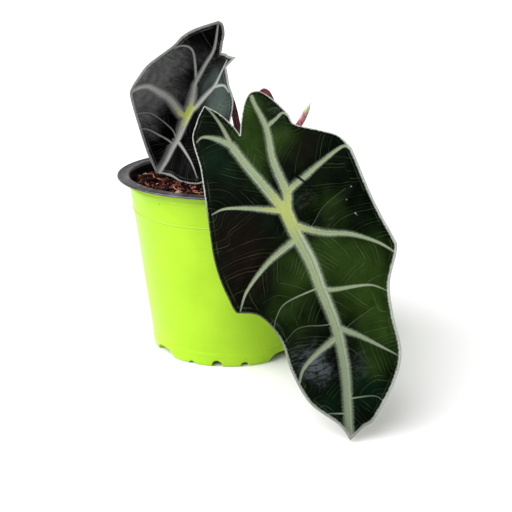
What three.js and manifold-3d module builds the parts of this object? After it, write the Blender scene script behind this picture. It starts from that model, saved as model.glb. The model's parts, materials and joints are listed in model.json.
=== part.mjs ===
// Potted alocasia: two arrow-shaped leaves and a rolled new leaf, growing from a short
// rootstock in a thin nursery pot filled with coarse bark and coir.
// Millimetres, +Z up, and the viewer stands on the -Y side. While the pieces are made the pot's
// axis is x = y = 0. At the end the plant moves, so that the middle of its box is over the origin.

import * as THREE from "three";
import { mergeVertices } from "three/addons/utils/BufferGeometryUtils.js";
import Module from "manifold-3d";

// Pot: one formed sheet with a wide flat lip
const potHeight = 113.5;
const lipRadius = 70;
const lipDrop = 1.3;
const flangeInnerRadius = 63.4;
const shoulderRadius = 62.5;
const shoulderHeight = 108.6;
const footRadius = 49.5;
const footRingWidth = 4.5;
const floorHeight = 6;
const footBandHeight = 9;
const footBandStep = 0.4;
const sheet = 0.9;
const potSegments = 54;

// Notches in the pot's foot: degrees from the front, positive to the viewer's right
const wideNotchAngles = [-57, 42, 129, 216];
const wideNotch = { topWidth: 12, footWidth: 21, height: 5 };
const roundNotches = [
  { share: 0.287, width: 4.6, height: 1.8 },
  { share: 0.483, width: 6.8, height: 4 },
  { share: 0.688, width: 5.4, height: 2.6 },
];
const floorHoleRadius = 4;
const floorHoleRing = 28;
const floorHoleCount = 6;

// Soil and rootstock
const seatGap = 0.3;
const soilLevel = 104.9;
const soilCrown = 2.3;
const soilCrownSpread = 15;
const soilSegments = 48;
const crown = { x: 12, y: 0 };
const rootstockTop = 108.4;
const rootstockRadius = 9.8;
const rootstockDepth = 26;

// Stems: diameters, and the points that each one passes, hand placed from the view
const largeStemRadius = 2.7;
const largeStemRoute = [
  [12, -5.5, 107.5],
  [14, -9, 125],
  [17.5, -19, 152],
  [21.4, -37, 168.6],
  [25.3, -53, 163.5],
  [28.3, -71, 147],
  [30.2, -86, 129.5],
  [31.3, -96, 117.5],
  [31.8, -100.5, 112.5],
];
const smallStemRadius = 2.4;
const smallStemRoute = [
  [9, 5.5, 107.5],
  [9.6, 11, 122],
  [6.7, 20, 136],
  [3.5, 30, 150],
  [-1.6, 38, 163],
  [-7.5, 43, 172],
  [-15.5, 42, 171],
  [-21.5, 34, 161],
  [-25.3, 22.2, 146.6],
];
const shootBaseRadius = 2.9;
const shootTipRadius = 0.7;
const shootRoute = [
  [18, 1.5, 107.5],
  [21.5, -2, 118],
  [33, -13, 134],
  [43.4, -20, 147],
  [50.4, -20, 160.5],
];
const stemCurveSegments = 5;

// Leaf blades: each is a flat outline, in millimetres from the stem joint (first towards the tip,
// then to the viewer's right), which is then bent along its length and folded along its midrib.
// An outline is a chain of curves that meet at the lobes, the vein corners, the tip and the notch.
const bladeThickness = 1;
const bladeEdgeThickness = 0.7;
const midribSoftness = 6;
const bladeRings = [0.18, 0.4, 0.62, 0.82, 1];
const outlineStep = 8.5;

const largeLeaf = {
  joint: [31.7, -100, 112.8],
  along: [0.3166, -0.4689, -0.8245],
  across: [0.941, 0.031, 0.337],
  bendToTip: -0.0012,
  bendToLobes: -0.004,
  left: { fold: 0, arch: -0.0012 },
  right: { fold: 0, arch: -0.001 },
  outline: [
    [[-52.4, -9.7], [-59.2, -11.5], [-71, -16.7], [-80.4, -23.4]],
    [[-80.4, -23.4], [-71.9, -30.3], [-61.9, -35.6], [-41.5, -36.8], [-15.6, -41.2],
      [13.9, -46.3], [38.5, -45], [42.3, -42.1]],
    [[42.3, -42.1], [47.8, -32.5], [62.9, -26.4], [81.1, -26.2], [99.7, -22.4],
      [115.3, -12.2], [124.8, -9.7]],
    [[124.8, -9.7], [120.3, -2.1], [118, 5.6], [104.3, 21.8], [90.4, 31.5], [71.2, 34.2],
      [54.7, 37.3], [41, 46.9], [35.7, 49.3]],
    [[35.7, 49.3], [7.7, 45.3], [-22.1, 43.9]],
    [[-22.1, 43.9], [-31.5, 40.3], [-38.1, 33.1], [-46.6, 20.5], [-54, 18.2], [-72, 11.3],
      [-76.4, 7.2], [-75.2, 2.2], [-65.6, -4.4], [-52.4, -9.7]],
  ],
};

const smallLeaf = {
  joint: [-25.3, 22, 146.6],
  along: [-0.4731, -0.0223, -0.8807],
  across: [0.8809, 0, -0.4733],
  bendToTip: 0.0008,
  bendToLobes: -0.0015,
  left: { fold: 17, arch: -0.0012 },
  right: { fold: 57, arch: -0.001 },
  outline: [
    [[-44.2, 1.1], [-49.6, -1.2], [-55.5, -3.5], [-59.8, -7.3], [-60.1, -10.4]],
    [[-60.1, -10.4], [-50.3, -21.5], [-42.3, -27], [-33.5, -30], [-17.3, -38.8],
      [-8.3, -41.1], [1.4, -41.6], [7, -39.1], [21.5, -25.9], [35.9, -11.4], [44.9, -0.2]],
    [[44.9, -0.2], [40.5, 14.2], [38.5, 28.9], [31.6, 45.8], [24, 49], [12, 50.5],
      [0, 48], [-10.3, 44.3], [-18.1, 39.9], [-24.5, 33.7], [-29.6, 24.1], [-37.8, 13.1]],
    [[-37.8, 13.1], [-41.5, 14.4], [-46.2, 17.2]],
    [[-46.2, 17.2], [-44.9, 10], [-45.1, 5.6], [-44.2, 1.1]],
  ],
};

// Papery leaf bases round the foot of each stem: height, radius, and the way each one faces
const sheaths = [
  { name: "sheath_large", route: largeStemRoute, height: 26, radius: 3.9, facing: -70, spread: 105 },
  { name: "sheath_small", route: smallStemRoute, height: 22, radius: 3.7, facing: 140, spread: 100 },
  { name: "sheath_shoot", route: shootRoute, height: 17, radius: 4.2, facing: 20, spread: 95 },
];
const sheathThickness = 0.7;
const sheathLift = 1.25;

// Loose pieces on the soil: place, half length, half width, half height and turn in degrees
const barkChips = [
  { x: -50, y: 3, size: [4.6, 2.6, 1.6], turn: 25 },
  { x: -39, y: -17, size: [4, 2.2, 1.5], turn: 70 },
  { x: -27, y: -34, size: [5, 2.4, 1.7], turn: -20 },
  { x: -4, y: -45, size: [4.4, 3, 1.8], turn: 15 },
  { x: 26, y: -40, size: [5.2, 2.8, 1.8], turn: 60 },
  { x: 13, y: 46, size: [4.8, 2.6, 1.7], turn: -35 },
  { x: -12, y: 52, size: [4.2, 2.7, 1.6], turn: 10 },
  { x: -40, y: 33, size: [4.9, 2.3, 1.6], turn: 120 },
];
const perliteGrains = [
  { x: -54, y: 17, size: [1.9, 1.6, 1.4], turn: 0 },
  { x: -31, y: -24, size: [2.1, 1.7, 1.4], turn: 40 },
  { x: 6, y: -30, size: [1.8, 1.7, 1.3], turn: 80 },
  { x: 33, y: 40, size: [2, 1.6, 1.4], turn: 20 },
];

const colours = {
  pot: 0xaee83a,
  soil: 0x4a2a20,
  rootstock: 0x6b4a32,
  stem: 0x5e1626,
  shoot: 0xb06a78,
  blade: 0x16240f,
  smallBlade: 0x242624,
  sheath: 0x9c7a52,
  bark: 0x6a3a28,
  perlite: 0xd8d4c8,
};

const wasm = await Module();
wasm.setup();

const degrees = THREE.MathUtils.degToRad;
const vector = (point) => new THREE.Vector3(...point);

function toSolid(geometry) {
  const bare = geometry.clone();
  bare.deleteAttribute("normal");
  bare.deleteAttribute("uv");
  const merged = mergeVertices(bare, 1e-4);
  return new wasm.Manifold(
    new wasm.Mesh({
      numProp: 3,
      vertProperties: merged.attributes.position.array,
      triVerts: new Uint32Array(merged.index.array),
    }),
  );
}

function toGeometry(solid) {
  const mesh = solid.getMesh();
  const geometry = new THREE.BufferGeometry();
  geometry.setAttribute("position", new THREE.BufferAttribute(mesh.vertProperties, 3));
  geometry.setIndex(new THREE.BufferAttribute(mesh.triVerts, 1));
  geometry.computeVertexNormals();
  return geometry;
}

function lathe(profile, segments) {
  const points = profile.map(([radius, height]) => new THREE.Vector2(radius, height));
  return new THREE.LatheGeometry(points, segments).rotateX(Math.PI / 2);
}

function paintedMesh(name, geometry, colour, roughness) {
  const material = new THREE.MeshStandardMaterial({ color: colour, roughness, metalness: 0 });
  const mesh = new THREE.Mesh(geometry, material);
  mesh.name = name;
  return mesh;
}

// Outer radius of the pot's plain conical wall
function wallRadius(height) {
  return footRadius + ((shoulderRadius - footRadius) * height) / shoulderHeight;
}

function potProfile() {
  const groove = footRadius - sheet - 0.3;
  const ringInner = footRadius - footRingWidth;
  const flangeBottom = potHeight - sheet;
  const lipInner = lipRadius - sheet;
  return [
    [0, floorHeight],
    [ringInner, floorHeight],
    [ringInner, 0],
    [footRadius, 0],
    [wallRadius(footBandHeight) + footBandStep, footBandHeight - 0.4],
    [wallRadius(footBandHeight), footBandHeight + 0.2],
    [shoulderRadius, shoulderHeight],
    [flangeInnerRadius, flangeBottom],
    [lipInner, flangeBottom],
    [lipInner, potHeight - lipDrop],
    [lipRadius, potHeight - lipDrop],
    [lipRadius, potHeight - 0.5],
    [lipRadius - 0.5, potHeight],
    [flangeInnerRadius - 0.1, potHeight],
    [flangeInnerRadius - sheet, flangeBottom],
    [shoulderRadius - sheet, shoulderHeight],
    [groove + 1, floorHeight + sheet],
    [groove, sheet],
    [ringInner + sheet, sheet],
    [ringInner + sheet, floorHeight + sheet],
    [0, floorHeight + sheet],
  ];
}

// A cutter that crosses the foot ring from inside to outside at the given angle
function notchCutter(outline, angle) {
  const reach = footRingWidth + 4;
  const cutter = new THREE.ExtrudeGeometry(outline, {
    depth: reach,
    bevelEnabled: false,
    curveSegments: 5,
  });
  cutter.rotateX(Math.PI / 2);
  cutter.translate(0, reach - footRadius - 2, 0);
  cutter.rotateZ(degrees(angle));
  return toSolid(cutter);
}

function wideNotchOutline() {
  const { topWidth, footWidth, height } = wideNotch;
  return new THREE.Shape()
    .moveTo(-footWidth / 2, -1)
    .lineTo(footWidth / 2, -1)
    .lineTo(footWidth / 2, 0)
    .quadraticCurveTo(topWidth / 2 + 1, height, topWidth / 2 - 2, height)
    .lineTo(2 - topWidth / 2, height)
    .quadraticCurveTo(-topWidth / 2 - 1, height, -footWidth / 2, 0);
}

function roundNotchOutline(width, height) {
  return new THREE.Shape()
    .moveTo(-width / 2, -1)
    .lineTo(width / 2, -1)
    .absellipse(0, 0, width / 2, height, 0, Math.PI, false);
}

function makePot() {
  let pot = toSolid(lathe(potProfile(), potSegments));
  wideNotchAngles.forEach((angle, index) => {
    pot = pot.subtract(notchCutter(wideNotchOutline(), angle));
    const next = wideNotchAngles[(index + 1) % wideNotchAngles.length];
    const gap = (next - angle + 360) % 360;
    for (const { share, width, height } of roundNotches) {
      pot = pot.subtract(notchCutter(roundNotchOutline(width, height), angle + share * gap));
    }
  });
  for (let index = 0; index < floorHoleCount; index += 1) {
    const hole = new THREE.CylinderGeometry(floorHoleRadius, floorHoleRadius, 4, 16);
    hole.rotateX(Math.PI / 2);
    hole.translate(floorHoleRing, 0, floorHeight + sheet / 2);
    hole.rotateZ((index / floorHoleCount) * 2 * Math.PI);
    pot = pot.subtract(toSolid(hole));
  }
  return paintedMesh("pot", toGeometry(pot), colours.pot, 0.3);
}

// Height of the soil's own surface, mounded a little round the plant's crown
function soilHeight(x, y) {
  const fromCrown = Math.hypot(x - crown.x, y - crown.y) / soilCrownSpread;
  const ripple = 0.25 * Math.sin(x * 0.21 + 1) * Math.cos(y * 0.17 - 0.6);
  return soilLevel + soilCrown * Math.exp(-fromCrown * fromCrown) + ripple;
}

function makeSoil(sunkPieces) {
  const bottom = floorHeight + sheet + seatGap;
  const edge = wallRadius(soilLevel) - sheet - seatGap;
  const profile = [
    [0, bottom],
    [wallRadius(bottom) - sheet - seatGap - 0.4, bottom],
    [edge, soilLevel],
  ];
  for (const share of [0.92, 0.82, 0.7, 0.58, 0.46, 0.35, 0.25, 0.15, 0.07, 0]) {
    profile.push([edge * share, soilLevel]);
  }
  const geometry = lathe(profile, soilSegments);
  const position = geometry.attributes.position;
  for (let index = 0; index < position.count; index += 1) {
    const x = position.getX(index);
    const y = position.getY(index);
    const inside = Math.hypot(x, y) < edge - 0.1;
    if (inside && position.getZ(index) > bottom + 1) position.setZ(index, soilHeight(x, y));
  }
  let soil = toSolid(geometry);
  for (const piece of sunkPieces) soil = soil.subtract(toSolid(piece));
  return paintedMesh("soil", toGeometry(soil), colours.soil, 0.95);
}

// The rootstock: a short knobbly stem, ringed by old leaf scars
function rootstockGeometry(clearance) {
  const bottom = rootstockTop - rootstockDepth;
  const profile = [[0, bottom - clearance]];
  const rings = 8;
  for (let ring = 0; ring <= rings; ring += 1) {
    const share = ring / rings;
    const scar = ring % 2 === 0 ? 0.5 : -0.3;
    const radius = rootstockRadius * (0.62 + 0.38 * Math.sin((share * Math.PI) / 2)) + scar;
    const drop = ring === 0 ? clearance : 0;
    profile.push([radius + clearance, bottom - drop + share * (rootstockDepth - 1.4)]);
  }
  profile.push([rootstockRadius - 1.1 + clearance, rootstockTop + clearance]);
  profile.push([0, rootstockTop + clearance]);
  return lathe(profile, 24).translate(crown.x, crown.y, 0);
}

// A round stem along a route, narrowed or widened by radiusAt(0..1)
function stemGeometry(route, steps, radiusAt) {
  const path = new THREE.CatmullRomCurve3(route.map(vector), false, "centripetal");
  const section = new THREE.Shape().absarc(0, 0, 1, 0, 2 * Math.PI, false);
  const stem = new THREE.ExtrudeGeometry(section, {
    steps,
    extrudePath: path,
    curveSegments: stemCurveSegments,
    bevelEnabled: false,
  });
  const centres = path.getSpacedPoints(steps);
  const position = stem.attributes.position;
  const vertex = new THREE.Vector3();
  for (let index = 0; index < position.count; index += 1) {
    vertex.fromBufferAttribute(position, index);
    const distances = centres.map((centre) => Math.abs(centre.distanceTo(vertex) - 1));
    const step = distances.indexOf(Math.min(...distances));
    vertex.sub(centres[step]).multiplyScalar(radiusAt(step / steps)).add(centres[step]);
    position.setXYZ(index, vertex.x, vertex.y, vertex.z);
  }
  return stem;
}

// Cuts a stem off where it would enter the rootstock, so that it stands on it
function seatOnRootstock(stem) {
  return toSolid(stem).subtract(toSolid(rootstockGeometry(seatGap)));
}

// A leaf stem ends at the back of its blade: all that lies from just behind the blade forwards
// is cut off
function makeStem(name, route, radius, leaf) {
  const swell = (share) => radius * (1 + 0.22 * Math.exp(-share * 9));
  const stem = seatOnRootstock(stemGeometry(route, 34, swell));
  const seat = toSolid(bladeGeometry(leaf, 9, bladeThickness + seatGap));
  return paintedMesh(name, toGeometry(stem.subtract(seat)), colours.stem, 0.45);
}

function makeShoot() {
  const taper = (share) => shootBaseRadius + (shootTipRadius - shootBaseRadius) * share ** 1.6;
  const shoot = seatOnRootstock(stemGeometry(shootRoute, 20, taper));
  return paintedMesh("new_shoot", toGeometry(shoot), colours.shoot, 0.5);
}

function bladePoint(leaf, a, b) {
  const bend = a > 0 ? leaf.bendToTip : leaf.bendToLobes;
  const angle = bend * a;
  const side = b < 0 ? leaf.left : leaf.right;
  const spread = Math.hypot(b, midribSoftness) - midribSoftness;
  const lift = spread * Math.sin(degrees(side.fold)) + side.arch * b * b;
  const { along, across, face } = leaf.frame;
  return vector(leaf.joint)
    .addScaledVector(along, Math.sin(angle) / bend)
    .addScaledVector(face, (1 - Math.cos(angle)) / bend)
    .addScaledVector(across, b * Math.cos(degrees(side.fold)))
    .addScaledVector(face, lift * Math.cos(angle))
    .addScaledVector(along, -lift * Math.sin(angle));
}

// The way the blade's upper side faces at a point
function bladeNormal(leaf, a, b) {
  const step = 0.5;
  const lengthwise = bladePoint(leaf, a + step, b).sub(bladePoint(leaf, a - step, b));
  const crosswise = bladePoint(leaf, a, b + step).sub(bladePoint(leaf, a, b - step));
  return lengthwise.cross(crosswise).normalize();
}

function leafFrame(leaf) {
  const along = vector(leaf.along).normalize();
  const across = vector(leaf.across);
  across.addScaledVector(along, -across.dot(along)).normalize();
  return { along, across, face: along.clone().cross(across) };
}

function outlinePoints(leaf) {
  const points = [];
  for (const stretch of leaf.outline) {
    const curve = new THREE.SplineCurve(stretch.map(([a, b]) => new THREE.Vector2(a, b)));
    const count = Math.max(1, Math.round(curve.getLength() / outlineStep));
    points.push(...curve.getSpacedPoints(count).slice(0, -1));
  }
  return points;
}

// A closed sheet that fans out from the stem joint, from `front` above the blade's upper side
// to `back` below it. Without a back it takes the blade's own thickness.
function bladeGeometry(leaf, front = 0, back = null) {
  const rim = outlinePoints(leaf);
  const count = rim.length;
  const upper = [];
  const lower = [];
  const place = (a, b, share) => {
    const point = bladePoint(leaf, a, b);
    const normal = bladeNormal(leaf, a, b);
    const own = bladeThickness + (bladeEdgeThickness - bladeThickness) * share;
    upper.push(point.clone().addScaledVector(normal, front));
    lower.push(point.clone().addScaledVector(normal, -(back ?? own)));
  };
  place(0, 0, 0);
  for (const share of bladeRings) {
    for (const { x, y } of rim) place(x * share, y * share, share);
  }
  const faces = [];
  const ringStart = (ring) => 1 + ring * count;
  const offset = upper.length;
  const addFace = (p, q, r) => faces.push([p, q, r], [p + offset, r + offset, q + offset]);
  for (let index = 0; index < count; index += 1) {
    const next = (index + 1) % count;
    addFace(0, ringStart(0) + index, ringStart(0) + next);
    for (let ring = 1; ring < bladeRings.length; ring += 1) {
      const inner = ringStart(ring - 1);
      const outer = ringStart(ring);
      addFace(inner + index, outer + index, outer + next);
      addFace(inner + index, outer + next, inner + next);
    }
    const edge = ringStart(bladeRings.length - 1);
    faces.push([edge + index, edge + index + offset, edge + next + offset]);
    faces.push([edge + index, edge + next + offset, edge + next]);
  }
  const geometry = new THREE.BufferGeometry().setFromPoints([...upper, ...lower]);
  geometry.setIndex(faces.flat());
  geometry.computeVertexNormals();
  return geometry;
}

// A papery sheath: part of a tube round the foot of a stem, drawn out to a point at its top
function sheathGeometry({ route, height, radius, facing, spread }) {
  const path = new THREE.CatmullRomCurve3(route.map(vector), false, "centripetal");
  const length = path.getLength();
  const rows = 7;
  const columns = 8;
  const outer = [];
  const inner = [];
  for (let row = 0; row <= rows; row += 1) {
    const share = row / rows;
    const centre = path.getPointAt((share * height + sheathLift) / length);
    const width = degrees(spread) * Math.sqrt(1 - (share * 0.96) ** 2);
    for (let column = 0; column <= columns; column += 1) {
      const angle = degrees(facing) + width * ((2 * column) / columns - 1);
      const out = new THREE.Vector3(Math.cos(angle), Math.sin(angle), 0);
      const flare = radius + 1.2 * share * share;
      outer.push(centre.clone().addScaledVector(out, flare + sheathThickness));
      inner.push(centre.clone().addScaledVector(out, flare));
    }
  }
  const faces = [];
  const offset = outer.length;
  const at = (row, column) => row * (columns + 1) + column;
  const addQuad = (p, q, r, s) => faces.push([p, q, r], [p, r, s]);
  for (let row = 0; row < rows; row += 1) {
    for (let column = 0; column < columns; column += 1) {
      const [p, q] = [at(row, column), at(row, column + 1)];
      const [s, r] = [at(row + 1, column), at(row + 1, column + 1)];
      addQuad(p, q, r, s);
      addQuad(s + offset, r + offset, q + offset, p + offset);
    }
    const [left, leftUp] = [at(row, 0), at(row + 1, 0)];
    const [right, rightUp] = [at(row, columns), at(row + 1, columns)];
    addQuad(left + offset, left, leftUp, leftUp + offset);
    addQuad(right, right + offset, rightUp + offset, rightUp);
  }
  for (let column = 0; column < columns; column += 1) {
    const [low, lowNext] = [at(0, column), at(0, column + 1)];
    const [high, highNext] = [at(rows, column), at(rows, column + 1)];
    addQuad(low + offset, lowNext + offset, lowNext, low);
    addQuad(high, highNext, highNext + offset, high + offset);
  }
  const geometry = new THREE.BufferGeometry().setFromPoints([...outer, ...inner]);
  geometry.setIndex(faces.flat());
  geometry.computeVertexNormals();
  return geometry;
}

// An angular lump, half sunk in the soil. The clearance makes its pocket.
function lumpGeometry({ x, y, size, turn }, seed, clearance) {
  const lump = new THREE.IcosahedronGeometry(1, 1);
  const position = lump.attributes.position;
  for (let index = 0; index < position.count; index += 1) {
    const [px, py, pz] = [position.getX(index), position.getY(index), position.getZ(index)];
    const uneven = 1 + 0.13 * Math.sin(5.1 * px + seed) * Math.cos(4.3 * py - 2 * seed + 3 * pz);
    position.setXYZ(
      index,
      px * (size[0] + clearance) * uneven,
      py * (size[1] + clearance) * uneven,
      pz * (size[2] + clearance) * uneven,
    );
  }
  lump.rotateX(0.2 * Math.sin(seed * 3));
  lump.rotateY(0.2 * Math.cos(seed * 2));
  lump.rotateZ(degrees(turn));
  return lump.translate(x, y, soilHeight(x, y) + 0.35 * size[2]);
}

function makePlant() {
  const plant = new THREE.Group();
  for (const leaf of [largeLeaf, smallLeaf]) leaf.frame = leafFrame(leaf);
  const pockets = [rootstockGeometry(seatGap)];
  const addLumps = (prefix, lumps, colour, roughness) => {
    lumps.forEach((lump, index) => {
      const seed = index + prefix.length;
      const geometry = lumpGeometry(lump, seed, 0);
      plant.add(paintedMesh(`${prefix}_${index + 1}`, geometry, colour, roughness));
      pockets.push(lumpGeometry(lump, seed, seatGap + 0.05));
    });
  };
  addLumps("bark_chip", barkChips, colours.bark, 0.9);
  addLumps("perlite", perliteGrains, colours.perlite, 0.8);
  plant.add(makePot());
  plant.add(makeSoil(pockets));
  plant.add(paintedMesh("rhizome", rootstockGeometry(0), colours.rootstock, 0.8));
  plant.add(makeStem("petiole_large", largeStemRoute, largeStemRadius, largeLeaf));
  plant.add(makeStem("petiole_small", smallStemRoute, smallStemRadius, smallLeaf));
  plant.add(makeShoot());
  plant.add(paintedMesh("blade_large", bladeGeometry(largeLeaf), colours.blade, 0.4));
  plant.add(paintedMesh("blade_small", bladeGeometry(smallLeaf), colours.smallBlade, 0.45));
  for (const sheath of sheaths) {
    plant.add(paintedMesh(sheath.name, sheathGeometry(sheath), colours.sheath, 0.8));
  }
  return plant;
}

const plant = makePlant();
const box = new THREE.Box3().setFromObject(plant, true);
plant.position.set(-(box.min.x + box.max.x) / 2, -(box.min.y + box.max.y) / 2, -box.min.z);

const group = new THREE.Group();
group.add(plant);

export default group;
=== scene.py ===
import json
import math

import bpy
import numpy as np
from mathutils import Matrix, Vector, noise
from mathutils.geometry import delaunay_2d_cdt

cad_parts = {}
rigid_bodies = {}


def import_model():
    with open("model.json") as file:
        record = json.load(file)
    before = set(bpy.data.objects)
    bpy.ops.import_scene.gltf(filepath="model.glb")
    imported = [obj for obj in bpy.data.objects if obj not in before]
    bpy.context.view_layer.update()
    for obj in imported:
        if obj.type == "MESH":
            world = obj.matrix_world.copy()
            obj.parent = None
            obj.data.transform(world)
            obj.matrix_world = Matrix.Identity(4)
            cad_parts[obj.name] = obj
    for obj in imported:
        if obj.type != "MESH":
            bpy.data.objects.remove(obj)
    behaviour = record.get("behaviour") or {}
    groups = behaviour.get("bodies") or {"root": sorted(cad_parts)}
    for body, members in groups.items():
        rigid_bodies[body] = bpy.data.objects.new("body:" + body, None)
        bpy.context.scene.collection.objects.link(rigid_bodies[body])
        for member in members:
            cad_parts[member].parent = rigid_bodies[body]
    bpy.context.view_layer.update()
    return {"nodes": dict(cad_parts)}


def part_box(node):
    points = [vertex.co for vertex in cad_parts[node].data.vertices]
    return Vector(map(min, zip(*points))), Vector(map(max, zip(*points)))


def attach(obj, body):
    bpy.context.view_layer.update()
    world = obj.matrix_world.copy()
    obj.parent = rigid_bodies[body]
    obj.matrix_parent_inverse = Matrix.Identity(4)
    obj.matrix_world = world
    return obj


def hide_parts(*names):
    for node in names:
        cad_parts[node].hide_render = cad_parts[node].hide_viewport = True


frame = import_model()
print("frame loaded, nodes:", len(frame["nodes"]))

scene = bpy.context.scene
scene.view_settings.view_transform = "Standard"

# Pieces are worked out in millimetres from the pot's own axis, then moved to the row frame
potLow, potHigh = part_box("pot")
potAxis = np.array([(potLow.x + potHigh.x) / 2, (potLow.y + potHigh.y) / 2, 0.0])


def toRow(points):
    return np.asarray(points, float) * 0.001 + potAxis


# node trees

class Signal:  # one output of a node, which can be used in sums like a number
    def __init__(self, tree, socket):
        self.tree = tree
        self.socket = socket

    def calc(self, operation, other=0.0):
        return addNode(self.tree, "ShaderNodeMath", {0: self, 1: other}, operation=operation)

    def __add__(self, other):
        return self.calc("ADD", other)

    def __sub__(self, other):
        return self.calc("SUBTRACT", other)

    def __rsub__(self, number):
        return addNode(self.tree, "ShaderNodeMath", {0: number, 1: self}, operation="SUBTRACT")

    def __mul__(self, other):
        return self.calc("MULTIPLY", other)

    def __truediv__(self, other):
        return self.calc("DIVIDE", other)

    def __abs__(self):
        return self.calc("ABSOLUTE")


def addNode(tree, kind, feeds, output=0, **settings):
    made = tree.nodes.new(kind)
    for key, value in settings.items():
        setattr(made, key, value)
    for key, value in feeds.items():
        if isinstance(value, Signal):
            tree.links.new(value.socket, made.inputs[key])
        else:
            made.inputs[key].default_value = value
    return Signal(tree, made.outputs[output])


def srgb(red, green, blue):
    def linear(value):
        value /= 255
        return value / 12.92 if value <= 0.04045 else ((value + 0.055) / 1.055) ** 2.4
    return (linear(red), linear(green), linear(blue), 1.0)


def spread(value, low, high, toLow=0.0, toHigh=1.0):  # goes smoothly from toLow to toHigh as the value rises
    feeds = {0: value, 1: low, 2: high, 3: toLow, 4: toHigh}
    return addNode(value.tree, "ShaderNodeMapRange", feeds, interpolation_type="SMOOTHSTEP")


def mixed(share, first, second):
    return addNode(share.tree, "ShaderNodeMix", {0: share, 6: first, 7: second}, 2, data_type="RGBA")


def layered(colour, *layers):  # a layer is a share, and the colour that covers the ones before by that share
    for share, over in layers:
        colour = mixed(share, colour, over)
    return colour


def noiseOf(place, scale, detail=2.0, roughness=0.5, distortion=0.0):
    feeds = {"Vector": place, "Scale": scale, "Detail": detail, "Roughness": roughness}
    return addNode(place.tree, "ShaderNodeTexNoise", {**feeds, "Distortion": distortion}, "Fac")


def stretched(place, scale):
    return addNode(place.tree, "ShaderNodeMapping", {"Vector": place, "Scale": scale})


def attribute(tree, name, output="Fac"):
    return addNode(tree, "ShaderNodeAttribute", {}, output, attribute_name=name)


def objectPlace(tree):
    return addNode(tree, "ShaderNodeTexCoord", {}, "Object")


def newMaterial(name, roughness, gloss=0.5):
    material = bpy.data.materials.new(name)
    material.use_nodes = True
    shader = material.node_tree.nodes["Principled BSDF"]
    shader.inputs["Roughness"].default_value = roughness
    shader.inputs["Specular IOR Level"].default_value = gloss
    return material, material.node_tree


def wired(material, colour, rough=None, bump=None):  # a bump is a height signal, a strength and a distance
    tree = material.node_tree
    links = {"Base Color": colour, "Roughness": rough}
    if bump:
        links["Normal"] = addNode(tree, "ShaderNodeBump", dict(zip(("Height", "Strength", "Distance"), bump)))
    for key, signal in links.items():
        if signal:
            tree.links.new(signal.socket, tree.nodes["Principled BSDF"].inputs[key])
    return material


# meshes

def placed(name, data):
    made = bpy.data.objects.new(name, data)
    scene.collection.objects.link(made)
    return made


def addAttribute(mesh, name, values):  # one number or one vector for each point
    values = np.asarray(values, np.float32)
    kind, field = ("FLOAT", "value") if values.ndim == 1 else ("FLOAT_VECTOR", "vector")
    mesh.attributes.new(name, kind, "POINT").data.foreach_set(field, values.ravel())


def newMesh(name, points, faces, materials, faceMaterials=None, attributes=None, sharpAngle=None):
    mesh = bpy.data.meshes.new(name)
    mesh.from_pydata(toRow(points).tolist(), [], [list(map(int, face)) for face in faces])
    for material in materials:
        mesh.materials.append(material)
    if faceMaterials is not None:
        mesh.polygons.foreach_set("material_index", np.asarray(faceMaterials, np.int32))
    for key, values in (attributes or {}).items():
        addAttribute(mesh, key, values)
    mesh.polygons.foreach_set("use_smooth", np.ones(len(mesh.polygons), bool))
    if sharpAngle:
        mesh.set_sharp_from_angle(angle=math.radians(sharpAngle))
    mesh.update()
    return placed(name, mesh)


def settle(piece, slotName, *nodes):
    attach(piece, "root")
    if nodes:
        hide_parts(*nodes)


def ringFaces(rings, sides):  # the quads between rings of points that follow one another
    here = np.arange(rings - 1)[:, None] * sides + np.arange(sides)
    after = np.roll(here, -1, axis=1)
    return np.stack([here, after, after + sides, here + sides], 2).reshape(-1, 4).tolist()


def tubeFaces(rings, sides):  # rings of points, then one point at the middle of each end
    faces = ringFaces(rings, sides)
    last = (rings - 1) * sides
    for side, after in loopEdges(0, sides):
        faces += [[after, side, rings * sides], [last + side, last + after, rings * sides + 1]]
    return faces


def loopEdges(first, count):
    return [(first + index, first + (index + 1) % count) for index in range(count)]


def rimOf(faces):  # leads from each point on the rim to the next one: half-edges that only one face has
    halfEdges = {(face[index - 1], face[index]) for face in faces for index in range(len(face))}
    return {start: end for start, end in halfEdges if (end, start) not in halfEdges}


def triangulated(flat, edges, tolerance=1e-6):
    found, _, triangles, _, _, _ = delaunay_2d_cdt([Vector(point) for point in flat], edges, [], 1, tolerance)
    return np.array([tuple(point) for point in found]), triangles


def hexGrid(low, high, spacing):
    rows = []
    for index, y in enumerate(np.arange(low[1], high[1], spacing * math.sqrt(3) / 2)):
        x = np.arange(low[0], high[0], spacing) + (spacing / 2 if index % 2 else 0)
        rows.append(np.stack([x, np.full(len(x), y)], 1))
    return np.vstack(rows)


# curves and noise

def resampled(line, step):
    run = np.concatenate([[0], np.cumsum(np.linalg.norm(np.diff(line, axis=0), axis=1))])
    count = max(1, round(run[-1] / step))
    at = np.linspace(0, run[-1], count + 1)
    return np.stack([np.interp(at, run, line[:, axis]) for axis in range(line.shape[1])], 1)


def bend(start, end, leave, arrive, count):  # a smooth bend between two points, without the last of them
    share = np.linspace(0, 1, count, endpoint=False)[:, None]
    return ((2 * start - 2 * end + leave + arrive) * share ** 3
            + (3 * end - 3 * start - 2 * leave - arrive) * share ** 2 + leave * share + start)


def flatCurve(points, step):  # a smooth curve through points on the flat leaf
    points = np.asarray(points, float)
    parts = []
    for index in range(len(points) - 1):
        before, after = points[max(index - 1, 0)], points[min(index + 2, len(points) - 1)]
        start, end = points[index], points[index + 1]
        parts.append(bend(start, end, (end - before) / 2, (after - start) / 2, 16))
    return resampled(np.vstack(parts + [points[-1:]]), step)


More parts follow.
